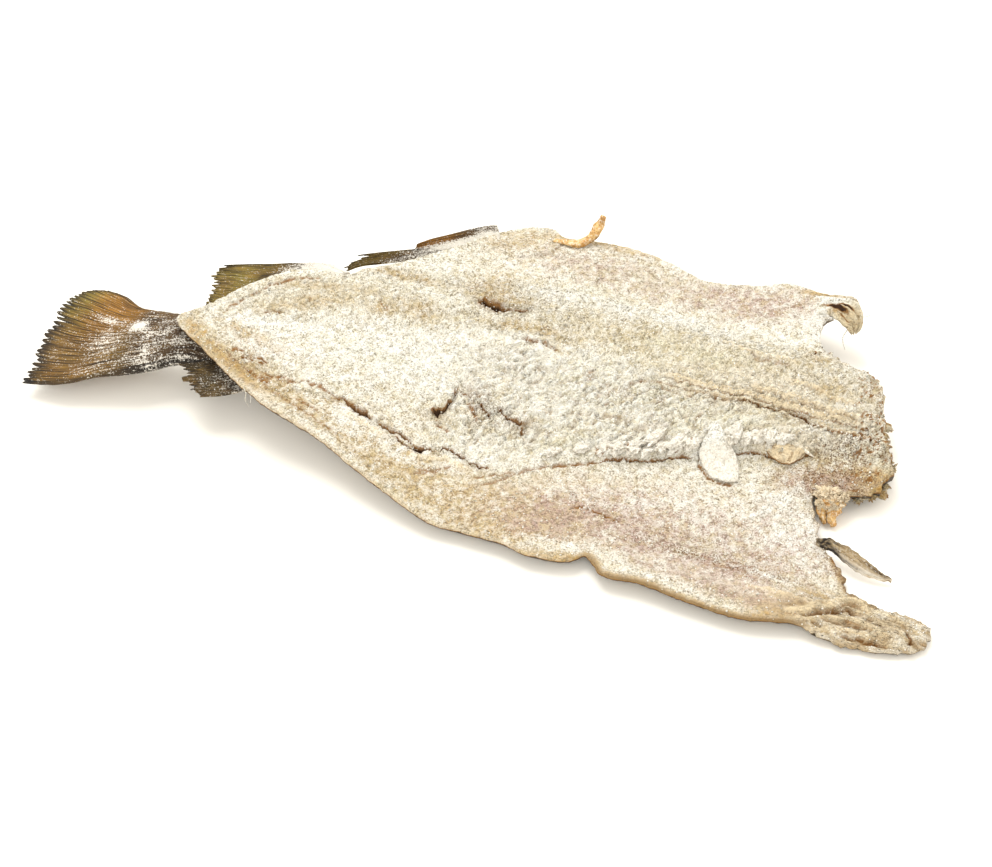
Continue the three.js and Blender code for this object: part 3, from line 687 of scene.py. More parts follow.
# %% Cut the grid to the outline
FIELD_LOW, FIELD_HIGH, CELL = np.array([-232.0, -188.0]), np.array([332.0, 188.0]), 2.8
RING_STEPS = 3600
ring = outline(np.arange(RING_STEPS) / RING_STEPS)
ring_tree = kdtree.KDTree(RING_STEPS)
for i, (rx, ry) in enumerate(ring.tolist()):
    ring_tree.insert((rx, ry, 0), i)
ring_tree.balance()
forward = np.roll(ring, -3, 0) - np.roll(ring, 3, 0)
ring_out = np.stack([forward[:, 1], -forward[:, 0]], 1) / np.linalg.norm(forward, axis=1)[:, None]
if np.sum(ring[:, 0] * np.roll(ring[:, 1], -1) - ring[:, 1] * np.roll(ring[:, 0], -1)) < 0:
    ring_out = -ring_out


def is_inside(points, loop):
    a, b = loop, np.roll(loop, -1, 0)
    count = np.zeros(len(points), int)
    for (ax, ay), (bx, by) in zip(a.tolist(), b.tolist()):
        if ay != by:
            spans = (points[:, 1] < ay) != (points[:, 1] < by)
            count += spans & (points[:, 0] < ax + (bx - ax) * (points[:, 1] - ay) / (by - ay))
    return count % 2 == 1


span = FIELD_HIGH - FIELD_LOW
columns, rows = (int(round(s / CELL)) for s in span)
body = bmesh.new()
bmesh.ops.create_grid(body, x_segments=columns, y_segments=rows, size=0.5)
bmesh.ops.scale(body, vec=(span[0], span[1], 1), verts=body.verts)
bmesh.ops.translate(body, vec=(*(FIELD_LOW + FIELD_HIGH) / 2, 0), verts=body.verts)
middles = np.array([f.calc_center_median()[:2] for f in body.faces])
kept = is_inside(middles, ring[::6])
bmesh.ops.delete(body, geom=[f for f, k in zip(body.faces, kept) if not k], context="FACES")
while True:
    pinched = [v for v in body.verts if sum(e.is_boundary for e in v.link_edges) > 2]
    spare = [f for f in body.faces if sum(e.is_boundary for e in f.edges) > 2]
    spare += [v.link_faces[0] for v in pinched]
    if not spare:
        break
    bmesh.ops.delete(body, geom=list(set(spare)), context="FACES")
print("cells in the body:", len(body.faces))

# %% [markdown]
# ### A clean border
#
# The cut sheet has a border like a staircase. Each border point slides onto the outline, in the order in
# which the border runs, and the places are evened out so that no two points crowd. The rows of cells behind
# the border are then relaxed, so that they share the change.

# %% Slide the border onto the outline
EVEN_ROUNDS, ROWS_TO_RELAX, RELAX_ROUNDS = 14, 4, 15
start = next(e for e in body.edges if e.is_boundary)
border, vert = [start.verts[0]], start.verts[1]
step_edge = start
while vert is not border[0]:
    border.append(vert)
    step_edge = next(e for e in vert.link_edges if e.is_boundary and e is not step_edge)
    vert = step_edge.other_vert(vert)
spot = np.array([ring_tree.find((v.co.x, v.co.y, 0))[1] for v in border]) / RING_STEPS
spot = np.unwrap(spot * 2 * math.pi) / (2 * math.pi)
direction = 1 if spot[-1] > spot[0] else -1
spot = np.maximum.accumulate(spot * direction)
for _ in range(EVEN_ROUNDS):
    before = np.concatenate([[spot[-1] - 1], spot[:-1]])
    after = np.concatenate([spot[1:], [spot[0] + 1]])
    spot = (before + 2 * spot + after) / 4
for v, (px, py) in zip(border, outline((spot * direction) % 1.0).tolist()):
    v.co.x, v.co.y = px, py
fixed, near_border = set(border), set(border)
for _ in range(ROWS_TO_RELAX):
    near_border |= {e.other_vert(v) for v in near_border for e in v.link_edges}
loose = sorted(near_border - fixed, key=lambda v: v.index)
for _ in range(RELAX_ROUNDS):
    bmesh.ops.smooth_vert(body, verts=loose, factor=0.5, use_axis_x=True, use_axis_y=True)
print("points on the border:", len(border))

# %% [markdown]
# ### From sheet to slab
#
# The sheet is extruded into a slab with a skin side and a flesh side. Its walls get rings for a round rim.
# The top is divided once more, and twice more near the dark cracks, because only there does the eye look for
# fine detail. Dividing everything would cost millions of faces.

# %% Slab, rim rings and fine top
sheet = list(body.faces)
raised = bmesh.ops.extrude_face_region(body, geom=sheet, use_keep_orig=True)["geom"]
for part in raised:
    if isinstance(part, bmesh.types.BMVert):
        part.co.z = 1
upright = [e for e in body.edges if e.verts[0].co.z != e.verts[1].co.z]
bmesh.ops.subdivide_edges(body, edges=upright, cuts=3, use_grid_fill=True)
topside = [e for e in body.edges if min(v.co.z for v in e.verts) > 0.99]
bmesh.ops.subdivide_edges(body, edges=topside, cuts=1, use_grid_fill=True)
for least_shade, reach in ((0.7, 2.6), (0.85, 1.5)):
    tops = [f for f in body.faces if min(v.co.z for v in f.verts) > 0.99]
    middles = np.array([f.calc_center_median()[:2] for f in tops])
    close = np.zeros(len(tops), bool)
    for _, wide, shade, line in (row for lines in RELIEF.values() for row in lines):
        if shade >= least_shade:
            close |= along(line, middles[:, 0], middles[:, 1])[0] < reach + wide
    finer = list({e for f, c in zip(tops, close) if c for e in f.edges})
    bmesh.ops.subdivide_edges(body, edges=finer, cuts=1, use_grid_fill=True)
    print("divided near the cracks:", close.sum(), "faces")
bmesh.ops.recalc_face_normals(body, faces=body.faces)
for f in body.faces:
    f.material_index = 1 if max(v.co.z for v in f.verts) < 0.6 else 0
cod = object_of(body, "cod_body")
print("body:", len(cod.data.vertices), "points", len(cod.data.polygons), "faces")

# %% [markdown]
# ## Tints of the meat
#
# Dried cod isn't one cream: it is greenish where the loin is thick, mauve and pink where blood stayed in the
# belly wall, amber where fat yellowed at the rim, brown in the cracks, and white where salt cakes. Each tint
# is a number stored on the points, made from soft spots broken up by noise. The material reads them by name,
# and they stay on the mesh when it moves.

# %% Spots of tint
# Each spot: middle, half size, turn, strength
TINTS = {"amber": [
    [-123, 61, 32, 5, 4, 1.0], [-133, 40, 34, 6, 22, 1.2], [-165, 5, 24, 5, -14, 1.1],
    [-66, 90, 28, 6, -2, 1.1], [-76, 53, 9, 8, 60, 0.9], [-50, 58, 16, 8, 0, 1.1],
    [-3, 98, 18, 18, 0, 0.9], [12, 82, 18, 6, 0, 1.0], [28, 60, 26, 6, -6, 1.2], [-6, 46, 7, 4, 0, 1.0],
    [58, 44, 7, 3, -20, 1.2], [-90, -40, 8, 3, 0, 1.2], [8, 157, 38, 13, 10, 0.7],
    [36, 168, 10, 6, 0, 0.6], [200, 40, 66, 16, -12, 0.3], [224, -20, 22, 5, -4, 1.1],
    [240, 14, 40, 2.4, -16, 0.7], [214, 24, 34, 2.0, -16, 0.7], [250, 26, 12, 8, 0, 0.7],
    [280, 30, 8, 20, 0, 0.4], [252, -42, 34, 11, 3, 1.2], [14, -114, 44, 8, -14, 0.8],
    [30, -120, 16, 6, -10, 1.0], [-40, -84, 40, 11, -30, 0.9], [60, -100, 40, 14, -8, 0.4],
    [222, -27, 26, 6, 0, 0.8], [236, 124, 14, 5, -20, 0.8], [90, 158, 40, 3, -8, 0.9],
    [110, 60, 60, 18, -8, 0.5], [-20, -35, 12, 5, 20, 0.6], [-125, -42, 44, 9, -25, 0.75],
    [-60, -82, 80, 8, -33, 0.4], [40, -100, 70, 26, -10, 0.35], [70, -122, 40, 12, 0, 0.4],
    [-150, -30, 40, 10, -36, 0.5], [-30, -70, 60, 18, -28, 0.55], [60, -96, 60, 18, 0, 0.35],
    [240, 60, 20, 16, 0, 0.6], [206, -153, 40, 6, -10, 0.7]], "mauve": [
    [150, -105, 70, 22, -8, 0.6], [150, -74, 76, 20, 4, 0.3], [178, -129, 24, 5, -8, 1.3],
    [134, -119, 14, 5, 0, 1.1], [199, -127, 16, 4, -20, 1.1], [130, 122, 90, 18, -5, 0.6],
    [182, -141, 46, 10, -15, 1.5], [226, -148, 26, 8, -4, 0.8], [200, 118, 40, 14, 0, 0.8],
    [60, -112, 34, 14, 0, 0.5], [250, -46, 24, 9, 0, 1.3], [-150, -8, 26, 8, -12, 0.4],
    [230, -110, 24, 26, 0, 0.6], [110, -96, 60, 14, 0, 0.5], [60, 140, 50, 18, 0, 0.4],
    [100, -84, 70, 26, -4, 0.4], [220, -90, 30, 30, 0, 0.35]], "olive": [
    [150, 2, 90, 20, -8, 1.0], [-70, 8, 36, 8, -12, 0.8], [150, 52, 60, 14, -10, 0.6],
    [-190, -8, 22, 8, -35, 0.6], [60, -40, 50, 22, 10, 0.6], [222, 8, 26, 8, -10, 0.3],
    [288, -18, 9, 24, -10, 0.9], [104, 130, 50, 10, 0, 0.35], [60, 20, 50, 14, 20, 0.5],
    [0, 20, 60, 14, 0, 0.4], [60, 108, 50, 12, 0, 0.4]], "gold": [
    [-198, -3, 16, 8, -40, 0.8], [-170, -24, 28, 5, -35, 0.6], [284, -157, 42, 14, -8, 1.25],
    [246, -155, 20, 8, 0, 0.9], [281, -42, 12, 10, 0, 0.9], [84, -138, 22, 4, 0, 0.8],
    [232, -162, 26, 7, 0, 0.8], [256, 124, 14, 8, 0, 0.6], [262, -146, 16, 6, 0, 0.7],
    [82, 164, 22, 2.4, -4, 0.9], [236, 130, 14, 2.4, -16, 1.2], [-168, -26, 34, 4, -36, 0.6]], "smooth": [
    [182, -141, 46, 9, -15, 0.3], [278, -158, 40, 14, -8, 0.7], [246, -155, 18, 8, 0, 0.6],
    [214, 24, 60, 8, -17, 0.3], [224, -20, 22, 5, -4, 0.4], [-130, -56, 60, 5, -32, 0.2]], "frost": [
    [-60, 18, 96, 24, 12, 0.6], [30, 30, 50, 18, 6, 1.0], [-150, 20, 44, 12, 14, 0.7],
    [176, -26, 76, 7, 9, 0.7], [232, -84, 26, 40, 0, 0.6], [220, -62, 17, 2.6, 46, 1.6],
    [216, 22, 60, 11, -17, 0.7], [220, -131, 20, 2.2, -10, 1.2], [-60, -62, 44, 8, -18, 0.8],
    [50, 100, 44, 12, 0, 0.5], [120, -76, 56, 10, 6, 0.5], [90, -128, 26, 8, 0, 0.6],
    [240, 100, 24, 24, 0, 0.8], [130, 90, 66, 12, -6, 0.5], [-75, -46, 14, 4, -20, 1.1],
    [10, -60, 44, 14, 0, 0.5], [268, -146, 9, 5, 30, 0.8], [-20, 0, 60, 20, 0, 0.4],
    [100, 20, 40, 12, 20, 0.6], [300, -150, 16, 8, -20, 0.5], [90, -10, 90, 30, 5, 0.45]]}
# Dark specks: middle, half size, turn, strength
PEPPER = [
    [264, -26, 24, 14, 0, 1.7], [252, -44, 30, 10, 0, 1.9], [236, 36, 44, 12, -15, 0.3],
    [43, 64, 3, 2, 0, 1.8], [16, -22, 26, 14, -40, 0.9], [60, -62, 60, 8, 8, 0.4], [245, -62, 6, 12, 0, 1.2],
    [-172, -18, 30, 7, -35, 0.6], [20, 92, 30, 20, 0, 0.4], [258, -106, 16, 6, -60, 1.4],
    [268, -122, 14, 6, -58, 1.4], [268, -150, 40, 12, -16, 0.5], [248, 84, 8, 20, 20, 0.8],
    [170, -121, 40, 5, -12, 0.8], [186, -146, 50, 6, -15, 0.4], [206, -126, 24, 4, -8, 0.8],
    [150, -108, 60, 12, -8, 0.4], [140, 20, 60, 10, -14, 0.4], [282, 20, 8, 30, 0, 0.4],
    [-20, -30, 30, 14, -20, 0.3]]
# Where long fibres show: middle, half size, turn, strength
FIBROUS = [[205, 20, 76, 20, -17, 0.9], [224, -20, 26, 7, -4, 0.8], [282, -158, 46, 22, -10, 1.0],
       [-130, 46, 50, 16, 20, 0.5], [60, -72, 60, 8, 8, 0.4]]
print("dark specks and fibres:", len(PEPPER), len(FIBROUS))

# %% From spots to tints
def spots(rows, x, y):
    """The sum of soft turned spots."""
    total = np.zeros(len(x))
    for cx, cy, rx, ry, turn, strength in rows:
        u, v = turned(x - cx, y - cy, turn)
        total += strength * np.exp(-(u / rx) ** 2 - (v / ry) ** 2)
    return total


def keep(mesh, name, values):
    """Stores one number per point on a mesh."""
    mesh.attributes.new(name, "FLOAT", "POINT").data.foreach_set("value", np.asarray(values, np.float32))


def stain(piece, **tints):
    """Stores tints of 0 to 1 on a piece, each as one number per point or one for all of them."""
    for name, value in tints.items():
        keep(piece.data, name, clamp01(np.broadcast_to(value, len(piece.data.vertices))))


def tints_at(x, y, inward):
    """The tints of points by name, and how far they lie on the slanted flakes and on the long fibres."""
    found = {}
    for seed, (name, rows) in enumerate(TINTS.items()):
        broken = 0.95 + 0.6 * rough(x, y, 11, 60 + seed, 3) + 0.7 * rough(x, y, 3.4, 70 + seed, 2)
        found[name] = 1.2 * spots(rows, x, y) * broken
    near_rim = ease((x - 92) / 12) * ease((-100 - y) / 20)
    found["gold"] += near_rim * np.exp(-(inward / 3.2) ** 2) * (2.6 + rough(x, y, 9, 68, 2))
    found["smooth"] += 0.85 * near_rim * np.exp(-(inward / 3.0) ** 2)
    found["gold"] += 0.4 * np.exp(-(inward / 2.0) ** 2) * ease(-y / 20)
    found["frost"] += 0.35 * rough(x, y, 20, 80, 3)
    found["mauve"] += 0.25 * clamp01(rough(x, y, 30, 81, 2)) * ease((-90 - y) / 20)
    on_near_loin = (y < mid_line(x) + 6) * ease((1.0 - across_loin(x, y)) / 0.12)
    found["flaked"] = ease((x + 40) / 60) * on_near_loin * (0.6 + 0.6 * rough(x, y, 22, 82, 2))
    found["fibrous"] = spots(FIBROUS, x, y)
    found["pepper"] = spots(PEPPER, x, y) * (0.8 + 0.9 * rough(x, y, 7, 85, 3))
    return {name: clamp01(value) for name, value in found.items()}


print("spots of tint:", {name: len(rows) for name, rows in TINTS.items()})

# %% [markdown]
# ### Every point goes to its place
#
# Until now the mesh is flat, with 0 for the skin side and 1 for the top as its height. All parts of the
# shape meet here: form, relief and texture for the top, a lumpy skin for the bottom, and a rim that bulges
# and frays. The result stays a little inside the part's box, so that the library's sizes hold.

# %% Move every point to its place
THINNEST = 1.4  # mm of meat and skin at the rim
x, y, level = points_of(cod.data).T
nearest = [ring_tree.find((a, b, 0)) for a, b in zip(x.tolist(), y.tolist())]
inward = np.array([distance for _, _, distance in nearest])
outward = ring_out[[number for _, number, _ in nearest]]

tint = tints_at(x, y, inward)
fine, dark, strand = relief(x, y)
grain, clefts, hollow, valley, ear = texture(x, y, inward, tint["frost"])
# Hollows between lumps get painted shade in the material, less on strands and fibres
tint["hollow"] = hollow * (1 - 0.8 * strand) * (1 - 0.5 * tint["fibrous"])
tint["strand"] = strand
# The near ear: golden painted shade in its valleys, and white frost on its crests, partly a painted
# highlight
tint["gold"] = clamp01(tint["gold"] * (1 - 0.6 * ear) + 1.35 * valley)
tint["frost"] = clamp01(tint["frost"] + 0.6 * (ear - valley) * (ear > 0))
tint["smooth"] = tint["smooth"] * (1 - 0.55 * ear)
held = mix(0.4, 1.0, ease(inward / 4))
form = form_height(x, y)
under = under_height(x, y, inward)
top = form + (fine + grain) * held
top = np.maximum(top, under + THINNEST)
skin_lumps = 0.5 * rough(x, y, 16, 41) + 0.2 * rough(x, y, 4, 42, 2)
bottom = np.maximum(0, under + (skin_lumps - 0.2) * ease(under / 4))
z = mix(bottom, top, level)
ragged = 0.9 * rough(x, y, 6, 51, 3) + 0.5 * rough(x, y, 2.2, 52, 2)
frayed = np.maximum(ease((x - 255) / 12) * ease((y + 62) / 12), ease((x - 236) / 10) * ease((-62 - y) / 10))
frayed = np.maximum(frayed, ease((x - 236) / 6) * ease((116 - y) / 8) * ease((y - 50) / 10))
bulge = (-1.0 + 3.4 * level * (1 - level) + ragged * mix(0.8, 3.4, frayed)) * np.exp(-(inward / 1.6) ** 2)
place = np.stack([x + outward[:, 0] * bulge, y + outward[:, 1] * bulge, z], 1) * MM
place = np.clip(place, CAD_LOW + INSIDE, CAD_HIGH - INSIDE)
place[:, 2] = np.where(z <= 0.001, 0.0, place[:, 2])  # skin on the table touches it
move_points(cod.data, place)
print("body box, mm:", (place.min(0) / MM).round(1), (place.max(0) / MM).round(1))

# %% [markdown]
# ### Painted shade that follows the shape
#
# Some darkness is painted shade that follows the form: between the fibres of torn rims, which also have dark
# crumbs, in the clefts between flakes, in the valleys of the near ear, and under the near rim, which never
# sees light. It is added to the tint of cracks and shade before all tints are stored.

# %% Keep the tints on the mesh
notch = ease((x - 244) / 6) * ease((-86 - y) / 8) * ease((y + 134) / 8)
back_end = ease((x - 258) / 14) * ease((y + 58) / 10) * ease((66 - y) / 20)
# Torn rims: dark crumbs, and painted shade between the fibres
torn_rim = notch * np.exp(-(inward / 2.2) ** 2) * clamp01(1.3 * rough(x, y, 2.4, 83, 3) - 0.1)
torn_rim += 0.8 * back_end * clamp01(1.8 * rough(x, y, 2.8, 84, 3) - 0.15)
# Painted shade under the near rim
under_rim = (y < mid_line(x)) * (level < 0.6) * np.exp(-(inward / 3) ** 2) * (1 - ear)
under_rim *= clamp01(0.8 + 0.8 * rough(x, y, 7, 86, 3))
tint["crack"] = clamp01(dark + 0.22 * clefts + torn_rim + 0.12 * valley**3 + 0.7 * under_rim)
for name, values in tint.items():
    keep(cod.data, name, values)
    print(name, "mean", values.mean().round(3), "most", values.max().round(2))

# %% [markdown]
# ## Salted meat
#
# Salt-cured cod meat that was air dried: cream, matt and gritty, because its surface is a crust of salt
# grains with small pits between them. A flat cream colour looks like plastic, so the colour is laid down in
# the order in which it came about: meat, stains of fat and blood, white grains, tan grains that lost their
# salt, and brown in the pits and cracks. Shade is painted in as well: in the hollows of the lumps, at
# the feet of the flakes, in clefts and creases, on the floors of cracks and under the near rim. The grit
# that drives the colour drives the bump too, so light and colour agree. Real grains are under a millimetre
# and are drawn at 1.2 mm, so that they show. Dried protein has an index of about 1.5 and hardly any gloss.

# %% Patterns of the salted meat
salted_meat, tree = new_material("salted_dried_meat")
where = add(tree, COORDS, out="Object")
drift = add(tree, NOISE, {"Vector": where, "Scale": per_metre(26), "Detail": 4.0}, "Fac")
warm = add(tree, NOISE, {"Vector": where, "Scale": per_metre(6), "Detail": 3.0, "Roughness": 0.7}, "Fac")
clump = add(tree, NOISE, {"Vector": where, "Scale": per_metre(5), "Detail": 3.0, "Roughness": 0.6}, "Fac")
grit = add(tree, NOISE, {"Vector": where, "Scale": per_metre(1.15), "Detail": 2.0, "Roughness": 0.75}, "Fac")
grains = add(tree, CELLS, {"Vector": where, "Scale": per_metre(1.2)})
grain_tone = add(tree, "ShaderNodeSeparateColor", {0: grains.outputs["Color"]}, 0)
grain_edge = grains.outputs["Distance"]

# Stretched and turned noise: short slanting flakes, and long fibres that run with the fish
slant = add(tree, TURNED, {"Vector": where, "Rotation": (0, 0, math.radians(47)), "Scale": (9.0, 2.4, 4.0)},
            0,
            vector_type="TEXTURE")
flakes = add(tree, NOISE, {"Vector": slant, "Scale": 1000.0, "Detail": 3.0, "Roughness": 0.6}, "Fac")
grained = add(tree, TURNED, {"Vector": where, "Rotation": (0, 0, math.radians(-15)),
                             "Scale": (16.0, 1.7, 3.0)},
              0, vector_type="TEXTURE")
fibres = add(tree, NOISE, {"Vector": grained, "Scale": 1000.0, "Detail": 3.0, "Roughness": 0.6,
                           "Distortion": 0.8}, "Fac")
amber, mauve, olive, gold, hollow, frost, flaked, fibrous, smooth, strand_tint, pepper, crack = (
    add(tree, STORED, out="Fac", attribute_name=name)
    for name in ("amber", "mauve", "olive", "gold", "hollow", "frost", "flaked", "fibrous", "smooth",
                 "strand",
                 "pepper", "crack"))

# %% Colour of the salted meat
fatty = add(tree, MATH, {0: flaked, 1: 0.4, 2: 0.42}, 0, operation="MULTIPLY_ADD")
colour = lay_over(tree, ink("#e7e2d3"), (
    (1.0, drift, 0.36, 0.66, 0.0, 1.0, "#dbd2bf"),  # meat, a little deeper in places
    (amber, clump, 0.64, 0.38, 0.5, 0.9, "#b69761"),  # fat that yellowed
    (mauve, clump, 0.64, 0.38, 0.5, 0.9, "#b3948b"),  # blood that stayed
    (olive, clump, 0.64, 0.38, 0.5, 0.9, "#e0dec6"),  # greenish thick meat
    (gold, clump, 0.3, 0.6, 0.4, 1.0, "#b48d48"),  # thin meat that dried to horn
    (1.0, hollow, 0.0, 1.0, 0.0, 0.3, "#d5caab"),  # painted shade in the hollows of the lumps
    (fatty, warm, 0.47, 0.65, 0.0, 1.0, "#c7b37e")))  # warm patches, most on the flakes

# White grains: thick where frost is high, thin on stains and in hollows, where thinning them adds to the
# painted shade, broken up by every pattern
cover = 0.0
for pattern, weight in ((grit, 0.9), (clump, 1.0), (warm, -0.5), (drift, 0.4), (grain_tone, 0.2),
                        (frost, 0.44),
                        (hollow, -0.22), (amber, -0.2), (mauve, -0.2), (olive, -0.2), (gold, -0.6)):
    cover = add(tree, MATH, {0: pattern, 1: weight, 2: cover}, 0, operation="MULTIPLY_ADD")
colour = lay_over(tree, colour, [(1.0, cover, 0.72, 1.42, 0.0, 0.9, "#f4f2e9")])

# Some grains lost their salt and are tan, more of them where the lumps sink and where there is no frost
share = add(tree, RANGE, {0: grain_tone, 1: 0.50, 2: 0.08, 3: 0.0, 4: 1.0}, 0)
for pattern, start, full, least, most in ((clump, 0.64, 0.40, 0.35, 1.0), (frost, 0.0, 1.0, 1.0, 0.65)):
    patch = add(tree, RANGE, {0: pattern, 1: start, 2: full, 3: least, 4: most}, 0)
    share = add(tree, MATH, {0: share, 1: patch}, 0, operation="MULTIPLY")
colour = add(tree, MIX, {0: share, 6: colour, 7: ink("#c2bdb3")}, 2, data_type="RGBA", blend_type="MULTIPLY")

# %% Pits, fibres and cracks of the salted meat
pits = add(tree, RANGE, {0: grain_edge, 1: 0.44, 2: 0.70}, 0)
for pattern, start, full in ((grit, 0.54, 0.40), (smooth, 1.0, 0.0)):
    share = add(tree, RANGE, {0: pattern, 1: start, 2: full}, 0)
    pits = add(tree, MATH, {0: pits, 1: share}, 0, operation="MULTIPLY")
colour = lay_over(tree, colour, (
    (pits, clump, 0.64, 0.42, 0.3, 0.95, "#7a6f58"),  # brown between grains
    (flaked, warm, 0.62, 0.42, 0.35, 0.95, "#fbf8ec"),  # white faces of the flakes
    (flaked, hollow, 0.0, 1.0, 0.0, 0.3, "#dfd0a8"),  # and painted warm shade at their feet
    (1.0, fibrous, 0.0, 1.0, 0.0, 0.6, "#f2e3c0"),  # bare fibres are cream
    (1.0, smooth, 0.0, 1.0, 0.0, 0.65, "#e6dac6"),  # membrane hides the grains
    (gold, smooth, 0.0, 1.0, 0.0, 1.0, "#80602a"),  # and is horn brown where it is thin
    (pepper, grit, 0.52, 0.40, 0.0, 1.0, "#6f543a"),  # dark specks
    (flaked, flakes, 0.44, 0.33, 0.0, 0.5, "#a3936a"),  # gaps between flakes
    (1.0, strand_tint, 0.0, 1.0, 0.0, 0.75, "#f7e2ba"),  # raised strands
    (fibrous, fibres, 0.45, 0.33, 0.0, 0.55, "#a47c48"),  # gaps between fibres
    (1.0, crack, 0.10, 0.5, 0.0, 0.9, "#8a5c22"),  # brown lips of cracks and painted brown shade
    (1.0, crack, 0.66, 1.0, 0.0, 0.97, "#38200d")))  # near black painted shade on crack floors
slabs = add(tree, MATH, {0: flakes, 1: flaked}, 0, operation="MULTIPLY")
layers = add(tree, MATH, {0: fibres, 1: fibrous, 2: slabs}, 0, operation="MULTIPLY_ADD")
knobs = add(tree, MATH, {0: grain_edge, 1: -0.5, 2: grit}, 0, operation="MULTIPLY_ADD")
end_material(tree, colour, [(layers, 0.0045, 0.9), (clump, 0.0040, 0.85), (knobs, 0.0014, 0.85)], 0.8, 0.3)

# %% [markdown]
# ## Dried skin
#
# Cod skin dries to a dull leather: brown-grey and speckled, with tiny scale pockets, paler on the belly.
# Salt stays in the pockets. It covers the whole underside. A cell pattern gives the pockets in the bump, and
# one speckle gives both the dark specks at its low end and the salt at its high end, so that they never
# overlap. Along the near rim the skin is painted near black, as the shade under the rim.

# %% Dried skin
dried_skin, tree = new_material("dried_cod_skin")
where = add(tree, COORDS, out="Object")
blotch = add(tree, NOISE, {"Vector": where, "Scale": per_metre(14), "Detail": 4.0}, "Fac")
speck = add(tree, NOISE, {"Vector": where, "Scale": per_metre(2.2), "Detail": 3.0, "Roughness": 0.7}, "Fac")
scales = add(tree, CELLS, {"Vector": where, "Scale": per_metre(2.4)}, "Distance")
crack = add(tree, STORED, out="Fac", attribute_name="crack")
colour = lay_over(tree, ink("#54452f"), (
    (1.0, blotch, 0.35, 0.68, 0.0, 1.0, "#84714f"),  # paler blotches
    (1.0, speck, 0.52, 0.36, 0.0, 0.8, "#2c2418"),  # dark specks
    (1.0, speck, 0.60, 0.72, 0.0, 0.8, "#d6d0c2"),  # salt in the pockets
    (1.0, crack, 0.1, 0.6, 0.0, 0.85, "#2b2013")))  # painted shade under the rim
end_material(tree, colour, [(scales, 0.0006, 0.5), (speck, 0.0006, 0.6)], 0.6, 0.4)

# %% [markdown]
# ## The body goes to the library
# Every piece rides on the one body and stands for the one solid, which is hidden. The finished body is also
# kept as a tree of triangles, so that scraps made later can be laid on it by a ray that looks straight down.

# %% Hand the body over
def hand_over(piece):
    """Every piece rides with the one body and stands for the one solid."""
    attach(piece, "root")
    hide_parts("salt_cod")
    print(piece.name, "triangles:", sum(len(p.vertices) - 2 for p in piece.data.polygons))


cod.data.materials.append(salted_meat)
cod.data.materials.append(dried_skin)
hand_over(cod)
cod.data.calc_loop_triangles()
corners = [tuple(t.vertices) for t in cod.data.loop_triangles]
ground = BVHTree.FromPolygons([v.co.copy() for v in cod.data.vertices], corners)


def resting_height(px, py):
    """Height of the meat under a point, in mm."""
    hit = ground.ray_cast(Vector((px, py, 200)) * MM, Vector((0, 0, -1)))[0]
    return hit.z / MM if hit else 0.0


print("meat under 200, -60, mm:", round(resting_height(200, -60), 1))

# %% [markdown]
# ## Tail and fins
#
# A fin is a fan of bony rays with a thin web between them. Each is made from one slab: a grid that runs
# along the rays one way and across them the other, extruded to a second side, and bent into place by a
# function of those two directions. The rays are ridges that split in two near the edge, and the web is torn
# between their tips. The tail is the same, with a thick round stem at its root.

# %% A slab to bend
def bent_slab(name, cells_along, cells_across, bend, materials):
    """A closed thin piece. bend(s, v, side) gives x, y, z in mm, side -1 below, 0 at the rim, 1 on top."""
    sheet = bmesh.new()
    bmesh.ops.create_grid(sheet, x_segments=cells_along, y_segments=cells_across, size=0.5)
    bmesh.ops.translate(sheet, vec=(0.5, 0.5, -1), verts=sheet.verts)
    made = bmesh.ops.extrude_face_region(sheet, geom=list(sheet.faces), use_keep_orig=True)["geom"]
    for part in made:
        if isinstance(part, bmesh.types.BMVert):
            part.co.z = 1
    across = [e for e in sheet.edges if e.verts[0].co.z != e.verts[1].co.z]
    bmesh.ops.subdivide_edges(sheet, edges=across, cuts=1, use_grid_fill=True)
    bmesh.ops.recalc_face_normals(sheet, faces=sheet.faces)
    uv = sheet.loops.layers.uv.new("UVMap")
    for face in sheet.faces:
        for loop in face.loops:
            loop[uv].uv = loop.vert.co.xy
    piece = object_of(sheet, name)
    s, v, side = points_of(piece.data).T
    placed = np.stack(bend(s, v, side), 1) * MM
    move_points(piece.data, np.clip(placed, CAD_LOW + INSIDE, CAD_HIGH - INSIDE))
    closed = bmesh.new()
    closed.from_mesh(piece.data)
    if closed.calc_volume(signed=True) < 0:
        bmesh.ops.reverse_faces(closed, faces=closed.faces)
    closed.to_mesh(piece.data)
    closed.free()
    for material in materials:
        piece.data.materials.append(material)
    return piece, s, v, side

# %% [markdown]
# ### Fin web and rays
#
# Dried fins look like thin horn: olive to golden brown and slightly glossy where the web is bare, dark along
# each ray, and white where salt lies between the rays. The colour runs along the rays, so this material
# reads the fin's own UV map, with many lumps across the rays to one along them. Tint numbers say where a fin
# is golden, olive or salted.

# %% Fin material
fin_horn, tree = new_material("dried_fin_web")
uv = add(tree, FIN_MAP, out="UV", uv_map="UVMap")
where = add(tree, COORDS, out="Object")
strung = add(tree, TURNED, {"Vector": uv, "Scale": (5.0, 90.0, 1.0)}, 0)
streak = add(tree, NOISE, {"Vector": strung, "Scale": 1.0, "Detail": 3.0, "Roughness": 0.6}, "Fac")
blotch = add(tree, NOISE, {"Vector": where, "Scale": per_metre(12), "Detail": 3.0}, "Fac")
speck = add(tree, NOISE, {"Vector": where, "Scale": per_metre(1.2), "Detail": 2.0, "Roughness": 0.75}, "Fac")
golden, green, dark_tint, salted = (add(tree, STORED, out="Fac", attribute_name=name)
                                    for name in ("golden", "green", "dark", "salted"))
for pattern, weight in ((speck, 2.0), (streak, 1.6)):
    salted = add(tree, MATH, {0: pattern, 1: weight, 2: salted}, 0, operation="MULTIPLY_ADD")
